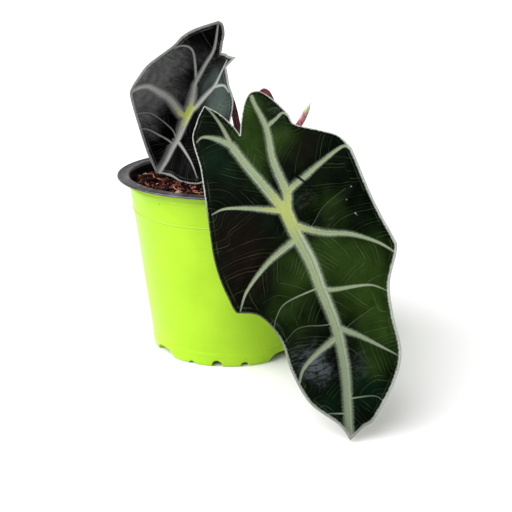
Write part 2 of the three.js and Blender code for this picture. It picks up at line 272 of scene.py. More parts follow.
def routeCurve(points, step):  # a smooth curve through points in space, evenly paced
    points = np.asarray(points, float)
    parts = []
    for index in range(len(points) - 1):
        start, end = points[index], points[index + 1]
        before = points[index - 1] if index else 2 * start - end
        after = points[index + 2] if index + 2 < len(points) else 2 * end - start
        first, middle, last = [math.sqrt(np.linalg.norm(q - p)) for p, q in
                               ((before, start), (start, end), (end, after))]
        pace = (end - start) / middle
        leave = ((start - before) / first - (end - before) / (first + middle) + pace) * middle
        arrive = (pace - (after - start) / (middle + last) + (after - end) / last) * middle
        parts.append(bend(start, end, leave, arrive, 24))
    return resampled(np.vstack(parts + [points[-1:]]), step)


def distanceTo(points, line):  # from each point to a line, and how far along the line the nearest spot is
    start, along = line[:-1], np.diff(line, axis=0)
    length = np.linalg.norm(along, axis=1)
    before = np.concatenate([[0], np.cumsum(length)[:-1]])
    best, where = np.zeros(len(points)), np.zeros(len(points))
    for first in range(0, len(points), 4000):
        some = points[first:first + 4000, None]
        share = np.clip(((some - start) * along).sum(2) / np.maximum(length ** 2, 1e-9), 0, 1)
        gap = np.linalg.norm(some - start - along * share[..., None], axis=2)
        nearest = gap.argmin(1)
        rows = np.arange(len(nearest))
        best[first:first + 4000] = gap[rows, nearest]
        where[first:first + 4000] = before[nearest] + share[rows, nearest] * length[nearest]
    return best, where


def stepUp(values, low, high):
    share = np.clip((values - low) / (high - low), 0, 1)
    return share * share * (3 - 2 * share)


def noiseField(points, size, seed):
    return np.array([noise.noise(Vector((x / size + seed, y / size, 0))) for x, y in points])


def squaredOff(place, power):
    return Vector([math.copysign(abs(value) ** power, value) for value in place])


# Geometry Nodes: a round section swept along paths, used for stems and leaf ribs

def newTree(name, inputs):
    tree = bpy.data.node_groups.new(name, "GeometryNodeTree")
    tree.interface.new_socket("Geometry", in_out="INPUT", socket_type="NodeSocketGeometry")
    for inputName, kind, value in inputs:
        socket = tree.interface.new_socket(inputName, in_out="INPUT", socket_type="NodeSocket" + kind)
        if value is not None:
            socket.default_value = value
    tree.interface.new_socket("Geometry", in_out="OUTPUT", socket_type="NodeSocketGeometry")
    return tree, {socket.name: Signal(tree, socket) for socket in tree.nodes.new("NodeGroupInput").outputs}


def closeTree(tree, geometry, material):
    real = addNode(tree, "GeometryNodeRealizeInstances", {"Geometry": geometry})
    painted = addNode(tree, "GeometryNodeSetMaterial", {"Geometry": real, "Material": material})
    tree.links.new(painted.socket, tree.nodes.new("NodeGroupOutput").inputs[0])
    return tree


def makeSweepTree():
    tree, given = newTree("sweepAlongPath", [("Sides", "Int", 12), ("Lump Height", "Float", 0.0),
                                             ("Lump Scale", "Float", 200.0), ("Material", "Material", None)])
    path = addNode(tree, "GeometryNodeMeshToCurve", {"Mesh": given["Geometry"]})
    section = addNode(tree, "GeometryNodeCurvePrimitiveCircle", {"Resolution": given["Sides"], "Radius": 1.0})
    radius = addNode(tree, "GeometryNodeInputNamedAttribute", {"Name": "pathRadius"}, data_type="FLOAT")
    tube = addNode(tree, "GeometryNodeCurveToMesh", {
        "Curve": path, "Profile Curve": section, "Scale": radius, "Fill Caps": True})
    lumps = addNode(tree, "ShaderNodeTexNoise", {"Scale": given["Lump Scale"], "Detail": 2.0}, "Fac")
    normal = addNode(tree, "GeometryNodeInputNormal", {})
    height = (lumps - 0.5) * given["Lump Height"]
    offset = addNode(tree, "ShaderNodeVectorMath", {0: normal, "Scale": height}, operation="SCALE")
    moved = addNode(tree, "GeometryNodeSetPosition", {"Geometry": tube, "Offset": offset})
    smooth = addNode(tree, "GeometryNodeSetShadeSmooth", {"Geometry": moved})
    return closeTree(tree, smooth, given["Material"])


def grow(host, tree, settings, name):  # runs a tree on a host object and keeps the result as a plain mesh
    modifier = host.modifiers.new(tree.name, "NODES")
    modifier.node_group = tree
    for item in tree.interface.items_tree:
        if item.item_type == "SOCKET" and item.in_out == "INPUT" and item.name in settings:
            modifier[item.identifier] = settings[item.name]
    host.update_tag()
    bpy.context.view_layer.update()
    graph = bpy.context.evaluated_depsgraph_get()
    mesh = bpy.data.meshes.new_from_object(
        host.evaluated_get(graph), preserve_all_data_layers=True, depsgraph=graph)
    host.modifiers.remove(modifier)
    mesh.name = name
    return placed(name, mesh)


def sweep(name, lines, radii, settings):  # lines in millimetres become bare edges that carry their radius
    points, edges, radius, share = [], [], [], []
    for line, thickness in zip(lines, radii):
        edges.extend((len(points) + index, len(points) + index + 1) for index in range(len(line) - 1))
        points.extend(line)
        radius.extend(np.asarray(thickness) * 0.001)
        share.extend(np.linspace(0, 1, len(line)))
    mesh = bpy.data.meshes.new(name + "_path")
    mesh.from_pydata(toRow(points).tolist(), edges, [])
    addAttribute(mesh, "pathRadius", radius)
    addAttribute(mesh, "pathShare", share)
    host = placed(name + "_path", mesh)
    piece = grow(host, sweepTree, settings, name)
    bpy.data.objects.remove(host)
    return piece


sweepTree = makeSweepTree()


# the pot: one formed sheet, green outside, black inside and on its lip

pot = {
    "columns": 900,
    "sheet": 0.9,
    "floorHeight": 6.0,
    "footRadius": 49.5, "flare": 13.0, "flareHeight": 108.6,  # the wall is wider by the flare at that height
    "footInside": 46.5, "footOutside": 48.6,  # radii between the foot ring's two sides and its edge
    "wideNotches": [-57, 42, 129, 216],  # degrees round from the front
    "wideHalfTop": 4.0, "wideHalfMiddle": 7.0, "wideHalfFoot": 10.5, "wideHeight": 5.0,
    # the others: how far along to the next wide one, half width, height
    "roundNotches": [(0.287, 2.3, 1.8), (0.483, 3.4, 4.0), (0.688, 2.7, 2.6)],
    "notchReach": 8.8,  # the notches are felt in the wall up to here
    "drainRadius": 4.0, "drainRing": 28.0, "drainCount": 6, "drainSides": 32,
    "lime": (srgb(139, 180, 12), srgb(149, 189, 20), srgb(129, 172, 10)),
    "inside": (srgb(5, 5, 6), srgb(20, 18, 18)),  # clean sheet, dust
    "lip": (srgb(36, 34, 38), srgb(106, 100, 106)),
}


def wallRadius(height):
    return pot["footRadius"] + pot["flare"] * height / pot["flareHeight"]


def notchLift(angles):  # how far the foot's edge is lifted at each angle, in degrees from the front
    def awayFrom(place):
        return np.abs((angles - place + 180) % 360 - 180) * math.pi / 180 * pot["footRadius"]

    lift = np.zeros(len(angles))
    share = np.linspace(0, 1, 30)
    halfWidths = ((1 - share) ** 2 * pot["wideHalfFoot"] + 2 * share * (1 - share) * pot["wideHalfMiddle"]
                  + share ** 2 * pot["wideHalfTop"])
    heights = (2 * share * (1 - share) + share ** 2) * pot["wideHeight"]
    wide = pot["wideNotches"]
    for centre, following in zip(wide, wide[1:] + wide[:1]):
        lift = np.maximum(lift, np.interp(awayFrom(centre), halfWidths[::-1], heights[::-1], right=0.0))
        for place, halfWidth, height in pot["roundNotches"]:
            away = awayFrom(centre + place * ((following - centre) % 360))
            lift = np.maximum(lift, height * np.sqrt(np.clip(1 - (away / halfWidth) ** 2, 0, 1)))
    return lift


def potRows():  # (radius, height, finish) round the section, from the floor's underside to its upper side
    low = [(45, 6), (45, 4), (45, 2), (45.02, 0.7), (45.2, 0.2), (45.7, 0), (47, 0), (48.7, 0), (49.2, 0.15),
           (49.48, 0.55)]
    bulges = [(1.5, 0.35), (3, 0.35), (4.5, 0.35), (6, 0.35), (7.4, 0.35), (8.3, 0.35), (8.8, 0.26)]
    bulges += [(z, 0) for z in (9.2, 10, 14, 20, 28, 36, 44, 52, 60, 68, 76, 84, 90, 91.9)]
    bulges += [(92.2, 0.35), (92.5, 0.5), (92.8, 0.35), (93.1, 0), (98, 0), (103, 0), (105.2, 0),
               (105.6, 0.45), (106.0, 0.7), (107.4, 0.7), (107.9, 0.5), (108.4, 0.1), (109, 0), (111, 0.05),
               (111.8, 0.15), (112.2, 0.3), (112.45, 0.6)]
    outside = low + [(wallRadius(z) + bulge, z) for z, bulge in bulges]
    lip = [(64.2, 112.3), (66, 112.22), (68, 112.24), (69.0, 112.3), (69.3, 112.2), (69.6, 112.2),
           (69.85, 112.3), (69.98, 112.5), (70, 112.8), (69.95, 113.15), (69.75, 113.38), (69.4, 113.5),
           (68.9, 113.48), (68.5, 113.34), (68.1, 113.14), (67.4, 113.02), (66, 112.98), (65, 113.02),
           (64.3, 113.16), (63.8, 113.38), (63.4, 113.48), (63.0, 113.42), (62.65, 113.2), (62.45, 112.8),
           (62.2, 111.6)]
    inside = [(wallRadius(z) - pot["sheet"], z) for z in (109, 107, 104, 100, 80, 60, 40, 20, 12, 8)]
    inside += [(48.5, 6.9), (48.3, 3), (48.1, 0.95), (47, 0.9), (46, 0.95), (45.9, 3), (45.9, 6.3),
               (45.6, 6.9), (45, 6.9)]
    return [(r, z, finish) for finish, part in ((0, outside), (2, lip), (1, inside)) for r, z in part]


def makePot():
    columns, holeSides, holeCount = pot["columns"], pot["drainSides"], pot["drainCount"]
    rows = potRows()
    angles = np.arange(columns) * 360 / columns
    turn = np.radians(angles)
    lift = notchLift(angles)
    points = []
    for radius, height, _ in rows:
        underFloor = radius < pot["footInside"] and height <= pot["floorHeight"] + pot["sheet"]
        reach = pot["floorHeight"] if underFloor else pot["notchReach"]
        z = height + lift * np.clip(1 - height / reach, 0, 1)
        if radius > pot["footOutside"] and height < pot["notchReach"]:
            radius = radius + wallRadius(z) - wallRadius(height)
        points.append(np.stack([radius * np.sin(turn), -radius * np.cos(turn), z], 1))
    points = np.vstack(points)
    faces = ringFaces(len(rows), columns)
    finish = [side for _, _, side in rows[1:] for _ in range(columns)]
    # the floor, with its drain holes
    around = np.radians(np.arange(holeSides) * 360 / holeSides)
    circle = pot["drainRadius"] * np.stack([np.cos(around), np.sin(around)], 1)
    middles = [pot["drainRing"] * np.array([math.cos(angle), math.sin(angle)])
               for angle in np.radians(np.arange(holeCount) * 360 / holeCount)]
    flat = np.vstack([points[:columns, :2]] + [middle + circle for middle in middles])
    walls = [edge for hole in range(holeCount) for edge in loopEdges(columns + holeSides * hole, holeSides)]
    found, triangles = triangulated(flat, loopEdges(0, columns) + walls)
    under = np.column_stack([flat, np.full(len(flat), pot["floorHeight"])])[columns:]
    base = len(points)
    points = np.vstack([points, under, under + [0, 0, pot["sheet"]]])

    def underIndex(index):
        return index if index < columns else base + index - columns

    def overIndex(index):
        return base - columns + index if index < columns else base + len(under) + index - columns

    for a, b, c in triangles:
        centre = found[[a, b, c]].mean(0)
        if all(np.linalg.norm(centre - middle) > pot["drainRadius"] * 0.99 for middle in middles):
            faces.append([underIndex(c), underIndex(b), underIndex(a)])
            faces.append([overIndex(a), overIndex(b), overIndex(c)])
            finish += [0, 1]
    for here, after in walls:
        faces.append([underIndex(after), underIndex(here), overIndex(here), overIndex(after)])
        finish.append(1)
    finishes = [greenSheet(), blackSheet("insidePlastic", pot["inside"], 0.06),
                blackSheet("lipPlastic", pot["lip"], 0.5)]
    return newMesh("pot_shell", points, faces, finishes, finish, sharpAngle=40)


def greenSheet():
    material, tree = newMaterial("limePlastic", 0.34, 0.3)
    place = objectPlace(tree)
    cloudy = noiseOf(place, 38, 3)
    streaks = noiseOf(stretched(place, (60, 60, 900)), 1.0, 2)
    specks = addNode(tree, "ShaderNodeTexVoronoi", {"Vector": place, "Scale": 150.0}, "Distance")
    colour = layered(pot["lime"][0], (spread(cloudy, 0.3, 0.75), pot["lime"][1]),
                     (spread(streaks, 0.5, 0.9, 0, 0.4), pot["lime"][2]),
                     (spread(specks, 0.05, 0.0, 0, 0.5), srgb(110, 150, 30)))
    height = noiseOf(place, 900, 2) + streaks * 0.7
    return wired(material, colour, spread(cloudy, 0.2, 0.8, 0.28, 0.42), (height, 0.12, 0.0004))


def blackSheet(name, tones, gloss):
    material, tree = newMaterial(name, 0.4, gloss)
    place = objectPlace(tree)
    dust = noiseOf(place, 120, 5, 0.65)
    colour = mixed(spread(dust, 0.4, 0.8), *tones)
    return wired(material, colour, spread(dust, 0.3, 0.8, 0.24, 0.52), (noiseOf(place, 700, 3), 0.2, 0.0004))


settle(makePot(), "pot_plastic", "pot")
print("pot made")


# the soil: a lumpy bed, with bark, crumbs and fibres strewn over it

soil = {
    "level": 104.9,
    "crown": (12.0, 0.0),
    "crownHeight": 2.3, "crownSpread": 15.0,
    "crownRadius": 9.5,  # nothing is strewn this near the crown's middle
    "heap": (-55.0, 12.0, 17.0, 2.4),  # x, y, reach and height of a low heap against the wall
    "edge": 60.85, "edgePoints": 330,
    "bottom": 7.3, "bottomGap": 1.7,
    "spacing": 1.15,
    "seed": 11,
    "barkPerSquareMetre": 70000.0,
    "crumbsPerSquareMetre": 300000.0,
    "fibresPerSquareMetre": 48000.0,
}
crownX, crownY = soil["crown"]


def soilHeight(x, y):
    away = np.hypot(x - crownX, y - crownY) / soil["crownSpread"]
    ripple = 0.25 * np.sin(x * 0.21 + 1) * np.cos(y * 0.17 - 0.6)
    heapX, heapY, reach, height = soil["heap"]
    heap = height * np.exp(-((x - heapX) ** 2 + (y - heapY) ** 2) / reach ** 2)
    return soil["level"] + soil["crownHeight"] * np.exp(-away * away) + heap + ripple


def soilMaterial():
    material, tree = newMaterial("barkSoil", 0.85, 0.08)
    place = objectPlace(tree)
    fine = noiseOf(place, 1100, 4, 0.7)
    colour = layered(srgb(4, 2, 2), (spread(noiseOf(place, 220, 4, 0.6), 0.35, 0.7), srgb(18, 7, 5)),
                     (spread(fine, 0.5, 0.8, 0, 0.5), srgb(58, 27, 22)))
    return wired(material, colour, spread(fine, 0.3, 0.8, 0.7, 0.95), (fine, 0.7, 0.0008))


def grainMaterial(name, dark, middle, light, roughness, gloss=0.08):
    material, tree = newMaterial(name, roughness, gloss)
    grain = noiseOf(objectPlace(tree), 900, 3, 0.6)
    lit = attribute(tree, "grainTone") + (grain - 0.5) * 0.7
    colour = layered(dark, (spread(lit, 0.0, 0.6), middle), (spread(lit, 0.6, 1.0), light))
    rough = spread(grain, 0.3, 0.8, roughness - 0.15, min(1.0, roughness + 0.15))
    return wired(material, colour, rough, (grain, 0.6, 0.0006))


def makeSoilBed():
    edge, count, bottom = soil["edge"], soil["edgePoints"], soil["bottom"]
    turn = np.arange(count) / count * 2 * math.pi
    rim = np.stack([np.cos(turn), np.sin(turn)], 1) * edge
    inside = hexGrid((-edge, -edge), (edge, edge), soil["spacing"])
    inside = inside[np.hypot(*inside.T) < edge - 0.6]
    found, triangles = triangulated(np.vstack([rim, inside]), loopEdges(0, count))
    away = np.hypot(*found.T)
    lumps = (noiseField(found, 7, 3) * 1.1 + np.abs(noiseField(found, 3.1, 9)) * 1.5
             + noiseField(found, 1.6, 20) * 0.5)
    height = soilHeight(found[:, 0], found[:, 1]) - 0.5 + lumps * stepUp(edge - away, 0, 2)
    bottomRim = rim * (wallRadius(bottom) - soil["bottomGap"]) / edge
    bottomRim = np.column_stack([bottomRim, np.full(count, bottom)])
    points = np.vstack([np.column_stack([found, height]), bottomRim, [[0, 0, bottom]]])
    faces = list(triangles)
    first = len(found)
    for index, after in loopEdges(0, count):
        faces.append([index, first + index, first + after, after])
        faces.append([first + after, first + index, first + count])
    isOpen = np.zeros(len(points))
    isOpen[:first] = (away < edge - 1.2) & (np.hypot(found[:, 0] - crownX, found[:, 1]) > soil["crownRadius"])
    return newMesh("soil_bed", points, faces, [soilMaterial()], attributes={"openSoil": isOpen},
                   sharpAngle=60)


def chipShape(name, size, seed, around, rings):  # a rough lump with few faces, strewn by the thousand
    bpy.ops.mesh.primitive_uv_sphere_add(segments=around, ring_count=rings, radius=1)
    chip = bpy.context.object
    chip.name = name
    for vertex in chip.data.vertices:
        p = vertex.co
        rough = (1 + 0.32 * noise.noise(p * 1.3 + Vector((seed * 3.7, seed, 0)))
                 + 0.1 * noise.noise(p * 4 + Vector((0, seed, 9))))
        vertex.co = Vector([value * scale for value, scale in zip(squaredOff(p, 0.7), size)]) * rough * 0.001
    for owner in list(chip.users_collection):
        owner.objects.unlink(chip)
    return chip


def makeStrewTree():
    tree, given = newTree("strewOnSoil", [
        ("Shapes", "Collection", None), ("Density", "Float", 1000.0), ("Smallest", "Float", 0.6),
        ("Largest", "Float", 1.2), ("Tilt", "Float", 0.5), ("Lift", "Float", 0.0), ("Seed", "Int", 1),
        ("Material", "Material", None)])
    openSoil = addNode(tree, "GeometryNodeInputNamedAttribute", {"Name": "openSoil"}, data_type="FLOAT")
    isOpen = addNode(tree, "FunctionNodeCompare", {0: openSoil, 1: 0.99}, data_type="FLOAT",
                     operation="GREATER_THAN")
    points = addNode(tree, "GeometryNodeDistributePointsOnFaces", {
        "Mesh": given["Geometry"], "Selection": isOpen, "Density": given["Density"], "Seed": given["Seed"]})
    shapes = addNode(tree, "GeometryNodeCollectionInfo", {
        "Collection": given["Shapes"], "Separate Children": True, "Reset Children": True})
    tilt = given["Tilt"]
    low = addNode(tree, "ShaderNodeCombineXYZ", {0: tilt * -1.0, 1: tilt * -1.0, 2: 0.0})
    high = addNode(tree, "ShaderNodeCombineXYZ", {0: tilt, 1: tilt, 2: 6.283})
    turn = addNode(tree, "FunctionNodeRandomValue", {"Min": low, "Max": high, "Seed": 5},
                   data_type="FLOAT_VECTOR")
    size = addNode(tree, "FunctionNodeRandomValue", {2: given["Smallest"], 3: given["Largest"], "Seed": 6}, 1,
                   data_type="FLOAT")
    strewn = addNode(tree, "GeometryNodeInstanceOnPoints", {
        "Points": points, "Instance": shapes, "Pick Instance": True, "Scale": size,
        "Rotation": addNode(tree, "FunctionNodeEulerToRotation", {0: turn})})
    lift = addNode(tree, "ShaderNodeCombineXYZ", {0: 0.0, 1: 0.0, 2: given["Lift"]})
    raised = addNode(tree, "GeometryNodeTranslateInstances", {
        "Instances": strewn, "Translation": lift, "Local Space": False})
    tone = addNode(tree, "FunctionNodeRandomValue", {2: 0.0, 3: 1.0, "Seed": 7}, 1, data_type="FLOAT")
    toned = addNode(tree, "GeometryNodeStoreNamedAttribute", {
        "Geometry": raised, "Name": "grainTone", "Value": tone}, data_type="FLOAT", domain="INSTANCE")
    return closeTree(tree, toned, given["Material"])


def shapeCollection(name, shapes):
    collection = bpy.data.collections.new(name)
    for shape in shapes:
        collection.objects.link(shape)
    return collection


def fibreShape(name, seed):  # a thin bent strand of coir, three sided
    rng = np.random.default_rng(seed)
    turns = rng.uniform(-1, 1, 3)
    share = np.linspace(-1, 1, 7)
    length = rng.uniform(2.6, 4.4)
    spine = np.stack([share * length, turns[0] * share ** 2 * 1.4 + turns[1] * share ** 3,
                      0.5 * turns[2] * share ** 2], 1)
    points = []
    for centre, place in zip(spine, share):
        radius = 0.17 * (1.15 - abs(place) ** 3)
        for angle in np.arange(3) * 2 * math.pi / 3:
            points.append(centre + [0, radius * math.cos(angle), radius * math.sin(angle)])
    last = len(points) - 3
    mesh = bpy.data.meshes.new(name)
    mesh.from_pydata((np.array(points) * 0.001).tolist(), [],
                     ringFaces(len(spine), 3) + [[2, 1, 0], [last, last + 1, last + 2]])
    return bpy.data.objects.new(name, mesh)


def strewSoil(bed):
    strewTree = makeStrewTree()
    barkShapes = shapeCollection("barkShapes", [
        chipShape(f"barkShape{index}", size, index, 8, 5) for index, size in
        enumerate([(2.3, 0.9, 0.6), (1.9, 1.2, 0.7), (2.9, 0.7, 0.5), (1.5, 1.1, 0.8), (3.6, 1.3, 0.7)])])
    crumbShapes = shapeCollection("crumbShapes", [
        chipShape(f"crumbShape{index}", size, 20 + index, 6, 4) for index, size in
        enumerate([(1.0, 0.7, 0.6), (0.8, 0.8, 0.6), (1.4, 0.6, 0.5)])])
    fibreShapes = shapeCollection("fibreShapes", [
        fibreShape(f"fibreShape{index}", index) for index in range(6)])
    bark = grainMaterial("barkPieces", srgb(3, 1, 1), srgb(24, 8, 6), srgb(142, 84, 64), 0.72)
    crumb = grainMaterial("soilCrumbs", srgb(3, 1, 1), srgb(22, 8, 6), srgb(124, 66, 52), 0.85)
    fibre = grainMaterial("coirFibres", srgb(28, 9, 7), srgb(82, 38, 28), srgb(194, 148, 124), 0.7)
    layers = [  # smallest and largest scale, tilt in radians and lift in metres
        ("soil_bark", barkShapes, soil["barkPerSquareMetre"], 0.55, 1.15, 0.5, 0.0004, bark),
        ("soil_crumbs", crumbShapes, soil["crumbsPerSquareMetre"], 0.6, 1.3, 3.1, 0.0002, crumb),
        ("soil_fibres", fibreShapes, soil["fibresPerSquareMetre"], 0.6, 1.25, 0.45, 0.0011, fibre),
    ]
    for name, shapes, density, smallest, largest, tilt, lift, material in layers:
        piece = grow(bed, strewTree, {
            "Shapes": shapes, "Density": density, "Smallest": smallest, "Largest": largest, "Tilt": tilt,
            "Lift": lift, "Seed": soil["seed"], "Material": material}, name)
        settle(piece, "soil")
        print("  ", name, len(piece.data.polygons), "faces")
    for collection in (barkShapes, crumbShapes, fibreShapes):
        for shape in list(collection.objects):
            bpy.data.objects.remove(shape)
        bpy.data.collections.remove(collection)
    return bark


soilBed = makeSoilBed()
barkMaterial = strewSoil(soilBed)
settle(soilBed, "soil", "soil")
print("soil made")


# the large loose pieces: bark chips and perlite grains, each with its place, size and turn in degrees

looseBark = {
    "detail": 4,
    "pieces": [((-50, 3), (4.6, 2.6, 1.6), 25), ((-39, -17), (4, 2.2, 1.5), 70),
               ((-27, -34), (5, 2.4, 1.7), -20), ((-4, -45), (4.4, 3, 1.8), 15),
               ((26, -40), (5.2, 2.8, 1.8), 60), ((13, 46), (4.8, 2.6, 1.7), -35),
               ((-12, 52), (4.2, 2.7, 1.6), 10), ((-40, 33), (4.9, 2.3, 1.6), 120)],
}
perlite = {
    "detail": 4,
    "tones": (srgb(110, 92, 76), srgb(150, 136, 120), srgb(196, 186, 170)),
    "pieces": [((-54, 17), (1.9, 1.6, 1.4), 0), ((-31, -24), (2.1, 1.7, 1.4), 40),
               ((6, -30), (1.8, 1.7, 1.3), 80), ((33, 40), (2, 1.6, 1.4), 20)],
}


def makeLumps(name, lumps, layeredBark, material, slotName, prefix):
    points, faces, tone = [], [], []
    for number, ((x, y), size, turnDegrees) in enumerate(lumps["pieces"]):
        bpy.ops.mesh.primitive_ico_sphere_add(subdivisions=lumps["detail"], radius=1)
        ball = bpy.context.object
        turn = math.radians(turnDegrees)
        first = len(points)
        seed = Vector((number * 2.3, 5, 1))
        for vertex in ball.data.vertices:
            p = vertex.co.copy()
            rough = 1 + 0.14 * noise.noise(p * 1.6 + seed) + 0.06 * noise.noise(p * 5 + seed)
            if layeredBark:  # squared off, with ridges along the grain
                p = squaredOff(p, 0.62)
                rough *= 0.93 + 0.05 * noise.noise(Vector((p.x * 0.8, p.y * 7, p.z * 5)) + seed)
            else:  # popped perlite: pitted
                rough *= 1 - 0.12 * max(0, noise.noise(p * 6 + seed))
            q = [p[axis] * size[axis] * rough for axis in range(3)]
            points.append([x + q[0] * math.cos(turn) - q[1] * math.sin(turn),
                           y + q[0] * math.sin(turn) + q[1] * math.cos(turn),
                           soilHeight(x, y) + 0.35 * size[2] + q[2]])
            tone.append(0.35 + 0.5 * ((number * 0.37) % 1))
        faces.extend([first + index for index in face.vertices] for face in ball.data.polygons)
        bpy.data.objects.remove(ball)
    piece = newMesh(name, points, faces, [material], attributes={"grainTone": tone}, sharpAngle=35)
    settle(piece, slotName, *[f"{prefix}_{number + 1}" for number in range(len(lumps["pieces"]))])


makeLumps("bark_chips", looseBark, True, barkMaterial, "bark", "bark_chip")
perliteMaterial = grainMaterial("perliteGrain", *perlite["tones"], 0.8, 0.2)
makeLumps("perlite_grains", perlite, False, perliteMaterial, "perlite", "perlite")
print("loose bark and perlite made")


# the rhizome: a short crown, ringed by old leaf scars

rootstock = {"top": 108.4, "radius": 9.8, "depth": 26.0, "rings": 64, "sides": 72, "scars": 8}


def makeRootstock():
    rings, sides, top = rootstock["rings"], rootstock["sides"], rootstock["top"]
    bottom = top - rootstock["depth"]
    points = []
    for ring in range(rings + 1):
        share = ring / rings
        z = top - rootstock["depth"] * (1 - share)
        shape = rootstock["radius"] * (0.62 + 0.38 * math.sin(share * math.pi / 2))
        shape *= 1 - 0.35 * max(0, share - 0.93) / 0.07
        scar = 0.35 * math.cos(share * rootstock["scars"] * math.pi) ** 3
        for side in range(sides):
            turn = side / sides * 2 * math.pi
            direction = Vector((math.cos(turn), math.sin(turn), z * 0.12))
            radius = shape + scar * (1 + 0.5 * math.sin(turn * 2 + ring * 0.2))
            radius += 0.5 * noise.noise(direction * 3)
            points.append([crownX + radius * math.cos(turn), crownY + radius * math.sin(turn), z])
    points += [[crownX, crownY, bottom], [crownX, crownY, top + 0.1]]
    return newMesh("crown_rootstock", points, tubeFaces(rings + 1, sides), [rootstockMaterial()])


def rootstockMaterial():
    material, tree = newMaterial("oldStem", 0.75)
    place = objectPlace(tree)
    rough = noiseOf(place, 260, 5, 0.65)
    bands = noiseOf(stretched(place, (60, 60, 900)), 1.0, 2)
    colour = layered(srgb(72, 44, 28), (spread(rough, 0.3, 0.7), srgb(142, 104, 66)),
                     (spread(bands, 0.5, 0.7, 0, 0.7), srgb(50, 26, 18)))
    return wired(material, colour, spread(rough, 0.2, 0.8, 0.6, 0.9), (rough + bands, 0.5, 0.0008))


settle(makeRootstock(), "rootstock", "rhizome")
print("rootstock made")


# where the two leaf stems run

largeStem = {
    "radius": 2.7,
    "route": [(12, -5.5, 107.5), (14, -9, 125), (17.5, -19, 152), (21.4, -37, 168.6), (25.3, -53, 163.5),
              (28.3, -71, 147), (30.2, -86, 129.5), (31.3, -96, 117.5), (31.8, -100.5, 112.5)],
}
smallStem = {
    "radius": 2.4,
    "route": [(9, 5.5, 107.5), (9.6, 11, 122), (6.7, 20, 136), (3.5, 30, 150), (-1.6, 38, 163),
              (-7.5, 43, 172), (-15.5, 42, 171), (-21.5, 34, 161), (-25.3, 22.2, 146.6)],
}


# the new shoot: a leaf still rolled up, with its free edge winding round it

shoot = {
    "route": [(18, 1.5, 107.5), (21.5, -2, 118), (33, -13, 134), (43.4, -20, 147), (50.4, -20, 160.5)],
    "baseRadius": 2.9,
    "tipRadius": 1.55,
    "sides": 40,
    "twist": 2.6,
}


def makeShoot():
    line = routeCurve(shoot["route"], 0.8)
    sides = shoot["sides"]
    tangent = np.gradient(line, axis=0)
    tangent /= np.linalg.norm(tangent, axis=1)[:, None]
    points, shares = [], []
    for index, centre in enumerate(line):
        share = index / (len(line) - 1)
        radius = shoot["baseRadius"] + (shoot["tipRadius"] - shoot["baseRadius"]) * share ** 2
        radius *= 1 - 0.84 * stepUp(share, 0.92, 1)
        across = np.cross(tangent[index], [0, 1, 0])
        across /= np.linalg.norm(across)
        up = np.cross(across, tangent[index])
        for side in range(sides):
            wound = side / sides * 2 * math.pi + 1.2 + share * shoot["twist"]
            step = 1 - 0.22 * (side / sides) * stepUp(share, 0.12, 0.3)
            points.append(centre + radius * step * (across * math.cos(wound) + up * math.sin(wound)))
            shares.append(share)
    points += [line[0], line[-1]]
    shares += [0, 1]
    faces = [face[:1] + face[:0:-1] for face in tubeFaces(len(line), sides)]  # this tube winds the other way
    return newMesh("rolled_shoot", points, faces, [shootMaterial()], attributes={"shootShare": shares},
                   sharpAngle=50)


def shootMaterial():
    material, tree = newMaterial("shootSkin", 0.42)
    place = objectPlace(tree)
    mottle = noiseOf(stretched(place, (1, 1, 0.4)), 520, 4, 0.6)
    green = mixed(spread(mottle, 0.3, 0.7), srgb(134, 146, 96), srgb(188, 190, 160))
    colour = layered(srgb(110, 34, 48), (spread(mottle, 0.38, 0.66), srgb(190, 128, 132)),
                     (spread(attribute(tree, "shootShare"), 0.86, 0.93), green))
    grooves = noiseOf(stretched(place, (1200, 1200, 120)), 1.0, 2)
    return wired(material, colour, spread(mottle, 0.3, 0.8, 0.36, 0.5), (grooves, 0.25, 0.0004))


settle(makeShoot(), "shoot", "new_shoot")
print("shoot made")


# papery sheaths round the foot of each stem

sheaths = {
    "thickness": 0.45,
    "lift": 1.25,
    "rows": 40, "columns": 36,
    "pieces": [  # name, route, height, radius, then facing and half the spread in degrees
        ("sheath_large", largeStem["route"], 26, 3.9, -70, 105),
        ("sheath_small", smallStem["route"], 22, 3.7, 140, 100),
        ("sheath_shoot", shoot["route"], 17, 4.2, 20, 95),
    ],
}


def sheathMaterial():
    material, tree = newMaterial("drySheath", 0.7)
    place = objectPlace(tree)
    blotch = noiseOf(place, 240, 4, 0.6)
    fibres = noiseOf(stretched(place, (1500, 1500, 90)), 1.0, 3)
    colour = layered(srgb(150, 104, 66), (spread(blotch, 0.35, 0.65), srgb(196, 158, 112)),
                     (spread(fibres, 0.45, 0.75, 0, 0.75), srgb(104, 62, 42)),
                     (spread(attribute(tree, "sheathShare"), 0.5, 1.0, 0, 0.6), srgb(92, 50, 36)))
    return wired(material, colour, spread(blotch, 0.2, 0.8, 0.6, 0.82), (fibres, 0.5, 0.0005))


